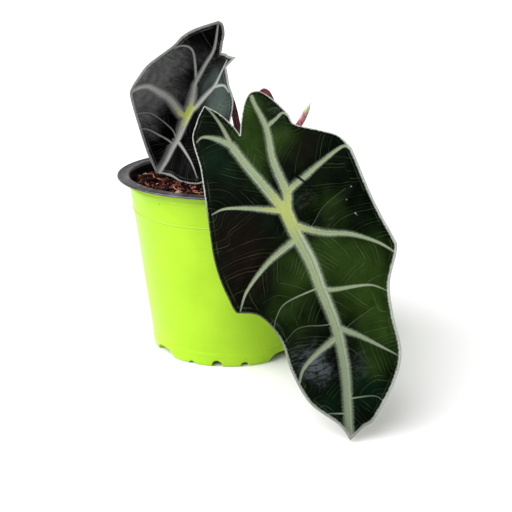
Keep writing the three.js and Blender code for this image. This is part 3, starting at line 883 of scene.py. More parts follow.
def makeSheath(name, route, height, radius, facing, halfSpread, material):
    rows, columns = sheaths["rows"], sheaths["columns"]
    step = 0.25
    line = routeCurve(route, step)
    outer, inner, shares = [], [], []
    for row in range(rows + 1):
        share = row / rows
        centre = line[int(round((share * height + sheaths["lift"]) / step))]
        half = math.radians(halfSpread) * math.sqrt(1 - (share * 0.985) ** 2)
        for column in range(columns + 1):
            across = 2 * column / columns - 1
            turn = math.radians(facing) + half * across
            out = np.array([math.cos(turn), math.sin(turn), 0])
            crinkle = 0.22 * noise.noise(Vector((turn * 2.2, share * 3, radius))) + 0.12 * math.sin(turn * 14)
            flare = radius + 0.15 + 1.2 * share ** 2 + crinkle * (0.3 + share)
            flare += 0.5 * abs(across) ** 4 * share
            droop = 0.4 * noise.noise(Vector((turn * 3, 7, 1))) * share
            outer.append(centre + out * (flare + sheaths["thickness"]) + [0, 0, droop])
            inner.append(centre + out * flare + [0, 0, droop])
            shares.append(share)
    across, offset = columns + 1, len(outer)
    corners = [row * across + column for row in range(rows) for column in range(columns)]
    outside = [[corner, corner + 1, corner + across + 1, corner + across] for corner in corners]
    faces = outside + [[index + offset for index in face[::-1]] for face in outside]
    faces += [[end + offset, end, start, start + offset] for start, end in rimOf(outside).items()]
    piece = newMesh(name + "_skin", outer + inner, faces, [material], attributes={"sheathShare": shares * 2},
                    sharpAngle=50)
    settle(piece, "sheath", name)


drySheath = sheathMaterial()
for sheathSpec in sheaths["pieces"]:
    makeSheath(*sheathSpec, drySheath)
print("sheaths made")


# the leaf blades

# Each is drawn flat, in millimetres from its stem joint (a towards the tip, b to the viewer's right),
# then bent along its length, folded along its midrib and puckered between its veins
largeLeaf = {
    "joint": (31.7, -100, 112.8), "along": (0.3166, -0.4689, -0.8245), "across": (0.941, 0.031, 0.337),
    "bendToTip": -0.0012, "bendToLobes": -0.004,
    "left": (0, -0.0012), "right": (0, -0.001),
    "spacing": 0.72, "thickness": 0.8, "edgeThickness": 0.4, "rimRoundness": 0.18,
    "pucker": 1.0, "puckerReach": 5.0, "ripple": 0.5, "wave": 1.3,
    "outline": [
        [(-52.4, -9.7), (-59.2, -11.5), (-71, -16.7), (-80.4, -23.4)],
        [(-80.4, -23.4), (-71.9, -30.3), (-61.9, -35.6), (-41.5, -36.8), (-15.6, -41.2), (13.9, -46.3),
         (38.5, -45),
         (42.3, -42.1)],
        [(42.3, -42.1), (47.8, -32.5), (62.9, -26.5), (81.2, -26.7), (100.2, -23.2), (115.7, -12.7),
         (125.4, -9.8)],
        [(125.4, -9.8), (121.4, -1.1), (119, 6.3), (104.8, 22.5), (90.4, 31.5), (71.2, 34.2), (55, 38.3),
         (41.2, 47.2), (35.9, 49.6)],
        [(35.9, 49.6), (7.6, 46.3), (-22.8, 45.3)],
        [(-22.8, 45.3), (-32.1, 41), (-38.4, 33.3), (-47.3, 21), (-54.6, 19.4), (-64, 15.8), (-72.4, 11.6),
         (-76.8, 7.3), (-75.7, 1.9), (-65.6, -4.4), (-52.4, -9.7)],
    ],
    # each vein: half width at its start and end, then its points
    "midrib": (3.5, 1.7, [(-4, -0.5), (7, 0.2), (13.2, 0.7), (29, 3), (44.1, 3.2), (63.3, 3.8),
                          (79.9, 2.2), (95.3, -1.1),
                          (118.9, -8.3), (125.1, -9.8)]),
    "veins": [
        (2.7, 1.8, [(1, -0.6), (-4.3, -1.9), (-20.3, -7.4), (-32.6, -11.7), (-46, -15.6)]),
        (1.2, 0.35, [(-44, -15.2), (-49.5, -16.2), (-62.5, -17.9), (-73.3, -20.6), (-78, -22.6)]),
        (2.1, 0.4, [(-45, -15.4), (-49.1, -16.7), (-56.9, -24.1), (-60.4, -30.2), (-58.9, -33.9)]),
        (2.6, 0.8, [(1, 0.4), (-4.3, 1.2), (-10.9, 3.5), (-31, 2.7), (-50.9, 5.4), (-68.5, 3.8),
                    (-74.5, 3.8)]),
        (1.3, 0.4, [(-49, 5.2), (-51.6, 5.7), (-54.5, 12.1), (-56.6, 17), (-52.6, 19.5)]),
        (2.0, 0.6, [(-2, 1.0), (-3.5, 1.8), (-11.2, 5.1), (-15.9, 16), (-19.8, 25.3), (-25.2, 40.9),
                    (-22, 44.6)]),
        (1.7, 0.35, [(0, -1.2), (-2.2, -2.7), (-6.1, -10.6), (-11.1, -21.3), (-14.8, -31.9), (-14.3, -38.9)]),
        (2.0, 0.4, [(5, 0.9), (7, 1.5), (10.1, 4.4), (17.1, 15), (22.7, 28.2), (31.7, 40.2), (40, 47)]),
        (1.8, 0.35, [(13, 0.9), (15, 0.9), (16.8, -4.9), (22.5, -19.6), (32.4, -34.7), (41.3, -41.9)]),
        (1.2, 0.25, [(44.7, 3.3), (47.6, 8.8), (50.6, 23.6), (53, 30.2), (58.2, 36)]),
        (0.45, 0.2, [(44.2, 3.5), (44.2, -0.6), (45.8, -17.2), (51.4, -24.6), (57.1, -28.2)]),
        (1.6, 0.25, [(65, 3.7), (66.9, 3.6), (69.6, 6.8), (76, 14.2), (87.5, 25.1), (92.6, 29.6)]),
        (1.6, 0.5, [(70, 3.3), (71.3, 3.2), (73.4, -1.6), (77.6, -12.8), (82.4, -20.7), (88.2, -24.8)]),
        (0.42, 0.2, [(104.6, -3.7), (105.1, -1), (107.8, 9.9), (111.9, 13.5)]),
        (0.5, 0.22, [(111.1, -5.8), (111, -8.4), (108.9, -14.5), (108.3, -17.1)]),
        (0.3, 0.1, [(65, 3.2), (63.4, -4), (61.4, -10.2), (60.9, -16.3), (63.1, -21.1), (65.3, -24.8)]),
        (0.14, 0.07, [(13.5, 4.5), (10.6, 11.1), (3.3, 20.1), (-2, 34.6)]),
        (0.14, 0.07, [(70, 7.2), (67.2, 13.7), (63.8, 26.2)]),
    ],
    "crack": [[(-18.8, 11), (-14.8, 13.8), (-11.3, 15.7), (-5.8, 18.6), (-1, 22.5)]],
    "nicks": [[(12.7, 34.4), (14.2, 34.9), (16.4, 36.5)], [(-1.8, 37.5), (-1, 38.3)], [(4.4, 32.6),
                                                                                       (4.8, 33.2)]],
    # soft patches: a, b, reach, amount
    # fresher green, partly painted light: lighter green where the pillowed blade catches the light
    "freshAndLit": [(-50, -5, 12, 0.75), (-34, -7, 9, 0.6), (-22, -8, 6, 0.5), (-68, 1, 9, 0.9),
              (-50, -22, 14, 0.1), (-42, 12, 10, 0.7), (-25, 27, 14, 0.15), (3, 24, 9, 0.55),
              (40, 28, 17, 0.8), (24, 16, 8, 0.4), (62, 26, 18, 0.6), (80, 28, 14, 0.6), (95, 14, 9, 0.5),
              (34, -6, 14, 0.6),
              (50, -20, 12, 0.4), (66, -14, 10, 0.25), (28, 6, 18, 0.3)],
    "cool": [(-44, -27, 11, 0.9), (-30, -22, 8, 0.4), (-5, 7, 5, 0.6), (1, -13, 7, 0.6), (30, -8, 9, 0.4),
             (103, 8, 12, 0.8), (104, -13, 9, 0.7)],
    # painted sheen: grey patches where light glances off the crinkled blade
    "paintedSheen": [(86, -12, 8, 0.85), (77, -18, 8, 0.6), (72, -9, 6, 0.3), (91, 7, 7, 0.45), (84, 12, 6, 0.15),
              (-46, 12, 8, 0.25), (-61, 14, 7, 0.45), (14, 20, 6, 0.35), (-5, 14, 6, 0.4), (-1, 8, 4, 0.35)],
    "brown": [(8, -30, 16, 1.0), (26, -32, 12, 0.8), (-5, -22, 10, 0.4), (-34, 24, 8, 0.7),
              (-24, 18, 7, 0.4)],
}

smallLeaf = {
    "joint": (-25.3, 22, 146.6), "along": (-0.4731, -0.0223, -0.8807), "across": (0.8809, 0, -0.4733),
    "bendToTip": 0.0008, "bendToLobes": -0.0015,
    "left": (17, -0.0012), "right": (57, -0.001),
    "spacing": 0.66, "thickness": 0.8, "edgeThickness": 0.4, "rimRoundness": 0.18,
    "pucker": 0.8, "puckerReach": 4.5, "ripple": 0.4, "wave": 1.0,
    "outline": [
        [(-44.2, 1.1), (-49.6, -1.1), (-55.7, -3), (-60.5, -6.9), (-60.9, -10.6)],
        [(-60.9, -10.6), (-50.3, -21.5), (-42.3, -27), (-33.5, -30), (-17.4, -38.4), (-8.3, -40.5),
         (1.4, -41.4),
         (7, -39.1), (21.5, -25.9), (35.9, -11.4), (44.9, -0.2)],
        [(44.9, -0.2), (40.5, 14.2), (38.5, 28.9), (31.6, 45.8), (24, 49), (12, 50.5), (0, 48), (-10.3, 44.3),
         (-18.1, 39.9), (-24.8, 34), (-30, 24.4), (-37.8, 13.1)],
        [(-37.8, 13.1), (-41.5, 14.4), (-46.2, 17.2)],
        [(-46.2, 17.2), (-44.9, 10), (-45.1, 5.6), (-44.2, 1.1)],
    ],
    "midrib": (3.3, 1.5, [(-3, 0), (8, 0.9), (16.6, 2), (24.6, 1.4), (33.8, 1.8), (44.5, 0)]),
    "veins": [
        (2.3, 0.95, [(1, 0), (-1.3, -0.3), (-8.4, -2.4), (-18.5, -5.4)]),
        (1.0, 0.4, [(-16.5, -4.8), (-19.8, -5.7), (-33.7, -5.2), (-44.8, -4.8), (-58.6, -9.6)]),
        (0.65, 0.3, [(-18, -5.2), (-20.5, -5.4), (-30.6, -11.5), (-36.5, -16.2), (-38, -20.5),
                     (-36.3, -25.1), (-33, -28.4)]),
        (1.8, 0.35, [(1, 0), (-2.2, 0), (-6.6, 3.8), (-15.8, 7.9), (-23.8, 11.5), (-31.9, 11.3),
                     (-42.1, 10.5)]),
        (0.8, 0.3, [(-22, 10.8), (-24.1, 12.4), (-27.5, 20.1), (-25.8, 28.2)]),
        (1.9, 0.6, [(2, 0), (1.3, -1.2), (1.9, -4.8), (-3.2, -16.1), (-4.4, -25.2), (-4.5, -32.1),
                    (-1.3, -37.4), (2.9, -40.2)]),
        (0.35, 0.2, [(17.5, 1.9), (18.3, 0.4), (13.9, -4.9), (10.5, -18.8), (11.2, -25.5), (14.8, -31.2)]),
        (0.45, 0.28, [(23.8, 1.6), (21.4, -3.2), (20.8, -12.1), (20.6, -19.3), (22.5, -24.4)]),
        (0.8, 0.25, [(18, 1.8), (18.8, 1), (19.5, 6.4), (21.7, 17), (24.8, 28.2), (30.1, 40.2)]),
    ],
    "crack": [], "nicks": [], "cool": [],
    # fresher green, partly painted light where the blade catches the light
    "freshAndLit": [(-20, 20, 14, 0.75), (-30, 6, 8, 0.45), (-12, 30, 12, 0.6), (-20, 0, 8, 0.3)],
    # painted sheen: grey patches, broadest over the left half, where light glances off the blade
    "paintedSheen": [(-17, -30, 14, 0.6), (-5, -30, 12, 0.75), (4, -30, 12, 0.7), (-33, -18, 9, 0.35),
              (-27, -25, 10, 0.35),
              (-10, -8, 8, 0.35), (17, -22, 8, 0.5), (22, -14, 5, 0.35), (24, 25, 8, 0.2), (-37, -5, 6, 0.4)],
    "brown": [(30, 2, 10, 0.3)],
}


# fine veins that branch off the main ones and sweep towards the margin
veinlets = {
    "spacing": 3.1,
    "height": 0.02,
    "lean": 0.9, "sweep": 0.02,  # how far on they run, for their distance from the vein and for its square
    "leastVein": 0.32,  # thinner veins send out no veinlets
}


def unit(vector):
    return vector / np.linalg.norm(vector)


def bladeSurface(leaf, flat):
    along = unit(np.array(leaf["along"]))
    across = np.array(leaf["across"])
    across = unit(across - along * (across @ along))
    face = np.cross(along, across)
    a, b = flat.T
    curve = np.where(a > 0, leaf["bendToTip"], leaf["bendToLobes"])
    angle = curve * a
    fold = np.radians(np.where(b < 0, leaf["left"][0], leaf["right"][0]))
    arch = np.where(b < 0, leaf["left"][1], leaf["right"][1])
    lift = (np.hypot(b, 6) - 6) * np.sin(fold) + arch * b * b
    forward = np.sin(angle) / curve - lift * np.sin(angle)
    outward = (1 - np.cos(angle)) / curve + lift * np.cos(angle)
    return (np.array(leaf["joint"]) + along * forward[:, None] + face * outward[:, None]
            + across * (b * np.cos(fold))[:, None])


def bladeNormals(leaf, flat):
    ahead, aside = np.array([0.4, 0]), np.array([0, 0.4])
    lengthwise = bladeSurface(leaf, flat + ahead) - bladeSurface(leaf, flat - ahead)
    crosswise = bladeSurface(leaf, flat + aside) - bladeSurface(leaf, flat - aside)
    normal = np.cross(lengthwise, crosswise)
    return normal / np.linalg.norm(normal, axis=1)[:, None]


def leafRim(leaf):
    return np.vstack([flatCurve(chain, leaf["spacing"])[:-1] for chain in leaf["outline"]])


def patches(flat, spots):
    total = np.zeros(len(flat))
    for a, b, reach, amount in spots:
        total += amount * np.exp(-((flat[:, 0] - a) ** 2 + (flat[:, 1] - b) ** 2) / reach ** 2)
    return total


def veinLines(leaf, step):  # each vein's line, and its half width along it
    lines = []
    for startWidth, endWidth, points in [leaf["midrib"]] + leaf["veins"]:
        line = flatCurve(points, step)
        lines.append((line, startWidth + (endWidth - startWidth) * np.linspace(0, 1, len(line)) ** 0.8))
    return lines


def lineMarks(flat, lines):  # 1 on a thin line, fading along it
    total = np.zeros(len(flat))
    for points in lines:
        gap, where = distanceTo(flat, flatCurve(points, 0.6))
        total = np.maximum(total, stepUp(gap, 1.1, 0.1) * (1 - 0.75 * where / max(where.max(), 1e-6)))
    return total


def leafFacts(leaf, flat, rim):  # what the puckering and the paint need to know at points of the flat leaf
    margin = distanceTo(flat, np.vstack([rim, rim[:1]]))[0]
    edge, core, mainEdge = np.full((3, len(flat)), 1e9)
    run, away, breadth, side = np.zeros((4, len(flat)))
    gaps = []
    for index, (line, width) in enumerate(veinLines(leaf, 1.0)):
        gap, where = distanceTo(flat, line)
        stations = np.arange(len(line)) * np.linalg.norm(line[1] - line[0])

        def along(values):
            return np.interp(where, stations, values)

        own = along(width)
        ahead = np.gradient(line, axis=0)
        turned = (along(ahead[:, 0]) * (flat[:, 1] - along(line[:, 1]))
                  - along(ahead[:, 1]) * (flat[:, 0] - along(line[:, 0])))
        nearer = gap - own < edge
        side = np.where(nearer, np.sign(turned) * gap / own, side)
        breadth = np.where(nearer, own, breadth)
        edge = np.minimum(edge, gap - own)
        core = np.minimum(core, gap / own)
        if width.max() > veinlets["leastVein"]:
            nearer = gap - own < mainEdge
            run = np.where(nearer, where + index * 17, run)
            away = np.where(nearer, gap, away)
            mainEdge = np.minimum(mainEdge, gap - own)
            gaps.append(gap - own)
    gaps = np.sort(np.array(gaps), axis=0)
    seam = stepUp(gaps[1] - gaps[0], 0.4, 2.5)  # 0 half way between two veins, where their veinlets meet
    return {"margin": margin, "veinEdge": edge, "veinCore": core, "veinRun": run, "veinAway": away,
            "veinBreadth": breadth, "veinSide": side, "seam": seam,
            "crack": lineMarks(flat, leaf["crack"]), "nick": lineMarks(flat, leaf["nicks"]),
            **{key: patches(flat, leaf[key]) for key in ("freshAndLit", "cool", "paintedSheen", "brown")}}


def puckered(leaf, flat, facts):  # how far the upper side stands off the plain curved blade
    free = stepUp(facts["veinEdge"], -0.6, leaf["puckerReach"])
    height = leaf["pucker"] * free * stepUp(facts["margin"], 0, 6)
    height -= 0.35 * stepUp(facts["veinEdge"], 0.6, -1.0) + 0.3 * facts["crack"]
    # the blade crinkles more where the sheen is painted
    ripples = leaf["ripple"] * noiseField(flat, 8, 2) + 0.35 * facts["paintedSheen"] * noiseField(flat, 3.2, 6)
    height += ripples * free
    height += leaf["wave"] * noiseField(flat, 24, 5) * stepUp(facts["margin"], 16, 0)
    bent = facts["veinAway"] * veinlets["lean"] + facts["veinAway"] ** 2 * veinlets["sweep"]
    ridges = np.cos((facts["veinRun"] - bent) / veinlets["spacing"] * 2 * math.pi)
    return height + veinlets["height"] * ridges * free * facts["seam"]


def flatBlade(leaf, rim):  # the flat leaf in small triangles, with the veins, crack and nicks as edges
    step = leaf["spacing"]
    drawn = [line for line, width in veinLines(leaf, step * 1.1)]
    drawn += [flatCurve(points, step) for points in leaf["crack"] + leaf["nicks"]]
    inner = hexGrid(rim.min(0), rim.max(0), step)
    inside = np.zeros(len(inner), bool)
    for p, q in zip(rim, np.roll(rim, -1, axis=0)):
        crosses = (p[1] > inner[:, 1]) != (q[1] > inner[:, 1])
        slope = (q[0] - p[0]) / (q[1] - p[1] + 1e-12)
        inside ^= crosses & (inner[:, 0] < slope * (inner[:, 1] - p[1]) + p[0])
    inner = inner[inside]
    # no point crowds the rim or a drawn line
    clear = distanceTo(inner, np.vstack([rim, rim[:1]]))[0] > step * 0.55
    for line in drawn:
        clear &= distanceTo(inner, line)[0] > step * 0.5
    edges = loopEdges(0, len(rim))
    first = len(rim)
    for line in drawn:
        edges += [(first + index, first + index + 1) for index in range(len(line) - 1)]
        first += len(line)
    return triangulated(np.vstack([rim] + drawn + [inner[clear]]), edges, 1e-4)


def makeBlade(name, leaf, upperPaint, underPaint):
    rim = leafRim(leaf)
    flat, triangles = flatBlade(leaf, rim)
    count = len(flat)
    facts = leafFacts(leaf, flat, rim)
    normals = bladeNormals(leaf, flat)
    upper = bladeSurface(leaf, flat) + normals * puckered(leaf, flat, facts)[:, None]
    thicker = leaf["thickness"] - leaf["edgeThickness"]
    lower = upper - normals * (leaf["edgeThickness"] + thicker * stepUp(facts["margin"], 0, 5))[:, None]
    # the rim is rounded by a third row of points, half way down and a little outwards
    border = rimOf(triangles)
    came = {end: start for start, end in border.items()}
    ids = {start: 2 * count + index for index, start in enumerate(border)}
    outwards = [unit(np.cross(upper[border[start]] - upper[came[start]], normals[start])) for start in border]
    middle = (upper + lower)[list(border)] / 2 + np.array(outwards) * leaf["rimRoundness"]
    faces = triangles + [[c + count, b + count, a + count] for a, b, c in triangles]
    paint = [0] * len(triangles) + [1] * len(triangles) + [0] * 2 * len(border)
    for p, q in border.items():
        faces += [[q, p, ids[p], ids[q]], [ids[q], ids[p], p + count, q + count]]
    facts["leafPlace"] = np.column_stack([flat, np.zeros(count)])
    attributes = {key: np.concatenate([fact, fact, fact[list(border)]]) for key, fact in facts.items()}
    print("  ", name, len(faces), "faces")
    points = np.vstack([upper, lower, middle])
    return newMesh(name, points, faces, [upperPaint, underPaint], paint, attributes)


def veinletLines(tree, run, away, edge, place):
    bent = away * veinlets["lean"] + away * away * veinlets["sweep"]
    strayed = (noiseOf(place, 0.12, 3) - 0.5) * 2.4
    count = (run - bent + strayed) / veinlets["spacing"]
    fromLine = abs(count.calc("FRACT") - 0.5)
    own = addNode(tree, "ShaderNodeTexWhiteNoise", {"W": count.calc("FLOOR")}, noise_dimensions="1D")
    strength = spread(fromLine, 0.1, 0.02) * spread(own, 0.15, 0.9)
    return strength * spread(edge, 0.4, 1.6) * attribute(tree, "seam")


def upperMaterial(name, paint):
    material, tree = newMaterial(name, 0.4, paint["gloss"])
    place = attribute(tree, "leafPlace", "Vector")
    alongLeaf, acrossLeaf = [addNode(tree, "ShaderNodeSeparateXYZ", {0: place}, axis) for axis in "XY"]
    edge, core, side, breadth, run, away = [
        attribute(tree, "vein" + fact) for fact in ("Edge", "Core", "Side", "Breadth", "Run", "Away")]
    margin = attribute(tree, "margin")
    cloud = noiseOf(place, 0.11, 4, 0.6) - 0.5
    mottle = noiseOf(place, 0.22, 6, 0.7)
    # between the veins: near black, with fresher green that is partly painted light on lit, pillowed patches,
    # brown, and a grey painted sheen in soft patches
    freshAndLit = attribute(tree, "freshAndLit") + cloud * 0.9
    brown = attribute(tree, "brown") * 0.8
    # painted sheen: grey where light glances off the blade, broken into crinkled streaks, greener near the
    # joint
    crinkle = noiseOf(stretched(place, (1, 0.4, 1)), 0.42, 5, 0.68, 0.6)
    paintedSheen = attribute(tree, "paintedSheen") + cloud * paint["sheenCloudiness"]
    paintedSheen = paintedSheen * spread(crinkle, 0.33, 0.68, 1 - paint["sheenBlotchiness"], 1.15)
    paintedSheenColour = mixed(spread(alongLeaf, 20.0, 60.0), paint["paintedSheenNear"], paint["paintedSheen"])
    fine = veinletLines(tree, run, away, edge, place) * spread(noiseOf(place, 0.1, 2), 0.3, 0.65, 0.25, 1.0)
    fineColour = layered(paint["fineVein"], (brown, paint["fineBrown"]),
                         (spread(freshAndLit, 0.4, 1.1, 0, 0.35), paint["vein"]))
    # main veins, their edges feathered by short hairs
    hairs = addNode(tree, "ShaderNodeCombineXYZ", {0: run, 1: away * 0.15, 2: 0.0})
    frayed = (noiseOf(place, 1.1, 3) - 0.5) * 0.8 + (noiseOf(hairs, 1.5, 3, 0.7) - 0.48) * 1.8
    ragged = edge / spread(breadth, 0.2, 1.6, 0.12, 1.0) + frayed
    haze = spread(ragged, paint["hazeReach"], -0.3, 0, paint["haze"]) * spread(breadth, 0.1, 0.5, 0.3, 1)
    faded = spread(acrossLeaf, 5.0, -15.0) * spread(margin, 9.0, 1.0, 0, paint["vanish"])
    solid = spread(ragged, 0.35, -0.6) * spread(breadth, 0.1, 0.6, 0.12, 1) * (1.0 - faded)
    groove = abs(side + (noiseOf(place, 0.15, 2) - 0.5) * 0.5 - 0.28)
    fromJoint = addNode(tree, "ShaderNodeVectorMath", {0: place}, "Value", operation="LENGTH")
    fromJoint = fromJoint + (noiseOf(place, 0.3, 3) - 0.5) * 10.0
    veinColour = layered(
        paint["vein"], (spread(side, 0.3, -0.3), paint["veinCentre"]),
        (spread(core, 0.45, 0.95), paint["vein"]), (spread(groove, 0.24, 0.04, 0, 0.55), paint["groove"]),
        (spread(fromJoint, 25.0, 110.0, 0, 0.6), paint["veinFar"]),
        (spread(fromJoint, paint["jointReach"], 1.0, 0, 0.85), paint["joint"]),
        (spread(noiseOf(place, 0.9, 3), 0.45, 0.8, 0, 0.3), paint["groove"]),
        (spread(breadth, 0.38, 0.2, 0, 0.7), paint["fineVein"]))
    # the margin: a pale line, and a fainter broken one just inside it. The pale line is lighter on the right
    # and towards the ends, and changes width there: a painted highlight where its edge catches the light,
    # with a shaded copy of its colour elsewhere
    inset = spread(abs(margin - 2.8), 0.5, 0.1) * spread(noiseOf(place, 0.09, 2), 0.4, 0.65, 0.0, 0.28)
    ends = spread(alongLeaf, -8.0, -28.0, 0, 0.85).calc("MAXIMUM", spread(alongLeaf, 45.0, 75.0, 0, 0.5))
    pale = spread(acrossLeaf, -20.0, 20.0).calc("MAXIMUM", ends)
    litMarginShare = spread(acrossLeaf, 10.0, 32.0) * spread(alongLeaf, -36.0, -14.0)
    litMarginShare = litMarginShare.calc("MAXIMUM", spread(alongLeaf, 45.0, 85.0))
    marginEdge = margin + (noiseOf(place, 0.7, 3) - 0.5) * 1.3
    marginEdge = marginEdge / spread(litMarginShare, 0.0, 1.0, *paint["marginWidth"])
    # lit and shaded copies of the margin colour: a painted highlight
    marginColour = mixed(pale, paint["marginShaded"], paint["marginLit"])
    colour = layered(
        paint["dark"], (spread(freshAndLit, 0.0, 1.05), paint["freshAndLit"]),
        (spread(attribute(tree, "cool"), 0.1, 1.0, 0, 0.85), paint["cool"]), (brown, paint["brown"]),
        (spread(mottle, 0.42, 0.72, 0, 0.4), paint["dark"]), (spread(paintedSheen, 0.05, 1.0), paintedSheenColour),
        (fine * paint["fineAmount"], fineColour), (haze, paint["vein"]), (solid, veinColour),
        (spread(attribute(tree, "crack"), 0.12, 0.55, 0, 0.95), (0.001, 0.001, 0.001, 1)),
        (spread(attribute(tree, "nick"), 0.5, 0.95, 0, 0.6), paint["marginLit"]),
        (inset, paint["fineVein"]), (spread(marginEdge, 1.0, 0.35), marginColour))
    rough = spread(mottle, 0.3, 0.8, paint["roughLow"], paint["roughHigh"]) + solid * 0.12
    height = noiseOf(place, 2.2, 3, 0.6) * 0.5 + fine * -0.5 + noiseOf(place, 0.55, 2)
    return wired(material, colour, rough, (height, 0.3, 0.0006))


def underMaterial(name, paint):
    material, tree = newMaterial(name, 0.5, 0.35)
    place = attribute(tree, "leafPlace", "Vector")
    edge = attribute(tree, "veinEdge")
    mottle = noiseOf(place, 0.35, 4, 0.6)
    fine = veinletLines(tree, attribute(tree, "veinRun"), attribute(tree, "veinAway"), edge, place)
    colour = layered(paint["underDark"], (spread(mottle, 0.3, 0.7), paint["underLight"]),
                     (fine * 0.5, paint["underVein"]), (spread(edge, 0.8, -0.6, 0, 0.75), paint["underVein"]),
                     (spread(attribute(tree, "margin"), 1.2, 0.5), paint["marginShaded"]))
    height = fine * 0.8 + noiseOf(place, 1.6, 3)
    return wired(material, colour, spread(mottle, 0.3, 0.8, 0.42, 0.6), (height, 0.35, 0.0006))


def leafTone(red, green, blue):  # as bright as it looks under a light of about twice a white card's
    return tuple(0.46 * value for value in srgb(red, green, blue)[:3]) + (1.0,)


largePaint = {
    "dark": leafTone(4, 11, 4), "freshAndLit": leafTone(46, 70, 22), "cool": leafTone(9, 34, 19),
    # the painted sheen's two colours, greener near the joint, and how cloudy and blotchy it is, come next
    "brown": leafTone(21, 14, 8), "paintedSheen": leafTone(86, 92, 98), "paintedSheenNear": leafTone(78, 90, 68),
    "sheenCloudiness": 0.5, "sheenBlotchiness": 0.9,
    "vein": leafTone(178, 192, 164), "veinCentre": leafTone(162, 180, 130),
    "veinFar": leafTone(126, 140, 120), "groove": leafTone(118, 132, 92), "haze": 0.42, "hazeReach": 1.9,
    "joint": leafTone(198, 208, 114), "jointReach": 22.0,
    "fineVein": leafTone(84, 106, 66), "fineBrown": leafTone(110, 98, 74), "fineAmount": 0.55,
    # the margin's shaded and lit colours (a painted highlight), and its width where unlit and where lit
    "marginShaded": leafTone(92, 94, 82), "marginLit": leafTone(206, 214, 204), "marginWidth": (0.8, 1.8),
    "vanish": 0.65, "gloss": 0.012, "roughLow": 0.38, "roughHigh": 0.58,
    "underDark": srgb(48, 18, 30), "underLight": srgb(84, 40, 50), "underVein": srgb(118, 106, 82),
}
smallPaint = {
    "dark": leafTone(3, 3, 3), "freshAndLit": leafTone(84, 98, 92), "cool": leafTone(12, 30, 26),
    # the painted sheen's colours, and how cloudy and blotchy it is, come next
    "brown": leafTone(10, 8, 8), "paintedSheen": leafTone(106, 106, 106), "paintedSheenNear": leafTone(106, 106, 106),
    "sheenCloudiness": 0.25, "sheenBlotchiness": 0.35,
    "vein": leafTone(206, 208, 204), "veinCentre": leafTone(190, 192, 178),
    "veinFar": leafTone(190, 190, 188), "groove": leafTone(124, 126, 118), "haze": 0.55, "hazeReach": 3.4,
    "joint": leafTone(226, 238, 104), "jointReach": 12.0,
    "fineVein": leafTone(150, 154, 148), "fineBrown": leafTone(110, 104, 100), "fineAmount": 0.28,
    # the margin's shaded and lit colours (a painted highlight), and its width where unlit and where lit
    "marginShaded": leafTone(178, 180, 178), "marginLit": leafTone(168, 174, 168), "marginWidth": (2.1, 1.2),
    "vanish": 0.3, "gloss": 0.018, "roughLow": 0.4, "roughHigh": 0.58,
    "underDark": srgb(44, 20, 30), "underLight": srgb(74, 40, 50), "underVein": srgb(110, 100, 86),
}


def ribMaterial():
    material, tree = newMaterial("leafRibs", 0.48)
    place = objectPlace(tree)
    mottle = noiseOf(place, 300, 4, 0.6)
    colour = layered(srgb(120, 108, 76), (spread(mottle, 0.35, 0.7), srgb(160, 152, 116)),
                     (spread(noiseOf(place, 90, 2), 0.45, 0.7, 0, 0.6), srgb(112, 52, 58)))
    return wired(material, colour, spread(mottle, 0.3, 0.8, 0.4, 0.56), (mottle, 0.3, 0.0004))


def makeRibs(name, leaf, material):  # the veins stand out as ribs under the blade
    paths, radii = [], []
    for line, width in veinLines(leaf, 1.2):
        facts = leafFacts(leaf, line, leafRim(leaf))
        keep = facts["margin"] > 0.6
        line = line[keep]
        radius = np.clip(width[keep] * 0.42, 0.28, 1.25)
        drop = puckered(leaf, line, {key: values[keep] for key, values in facts.items()}) - radius - 0.2
        paths.append(bladeSurface(leaf, line) + bladeNormals(leaf, line) * drop[:, None])
        radii.append(radius)
    return sweep(name, paths, radii, {"Sides": 14, "Lump Height": 0.0002, "Lump Scale": 300.0,
                                      "Material": material})


ribPaint = ribMaterial()
for bladeName, leaf, paint, slotName, node in (
        ("leaf_large", largeLeaf, largePaint, "large_blade", "blade_large"),
        ("leaf_small", smallLeaf, smallPaint, "small_blade", "blade_small")):
    upperPaint = upperMaterial(bladeName + "Upper", paint)
    underPaint = underMaterial(bladeName + "Under", paint)
    settle(makeBlade(bladeName, leaf, upperPaint, underPaint), slotName, node)
    settle(makeRibs(bladeName + "_ribs", leaf, ribPaint), slotName)
print("leaves made")


# the leaf stems

def stemMaterial():
    material, tree = newMaterial("burgundyStem", 0.36, 0.3)
    place = objectPlace(tree)
    share = attribute(tree, "pathShare")
    mottle = noiseOf(stretched(place, (1, 1, 0.35)), 420, 4, 0.6)
    streak = noiseOf(stretched(place, (900, 900, 60)), 1.0, 2)
    # paler and greener near the blade, straw coloured at the very foot
    colour = layered(srgb(48, 2, 13), (spread(mottle, 0.4, 0.65), srgb(94, 8, 32)),
                     (spread(streak, 0.55, 0.75, 0, 0.4), srgb(134, 66, 74)),
                     (spread(share, 0.9, 1.0, 0, 0.85), srgb(140, 146, 84)),
                     (spread(share, 0.16, 0.0, 0, 0.8), srgb(150, 122, 92)))
    return wired(material, colour, spread(mottle, 0.3, 0.8, 0.3, 0.46), (streak, 0.25, 0.0004))


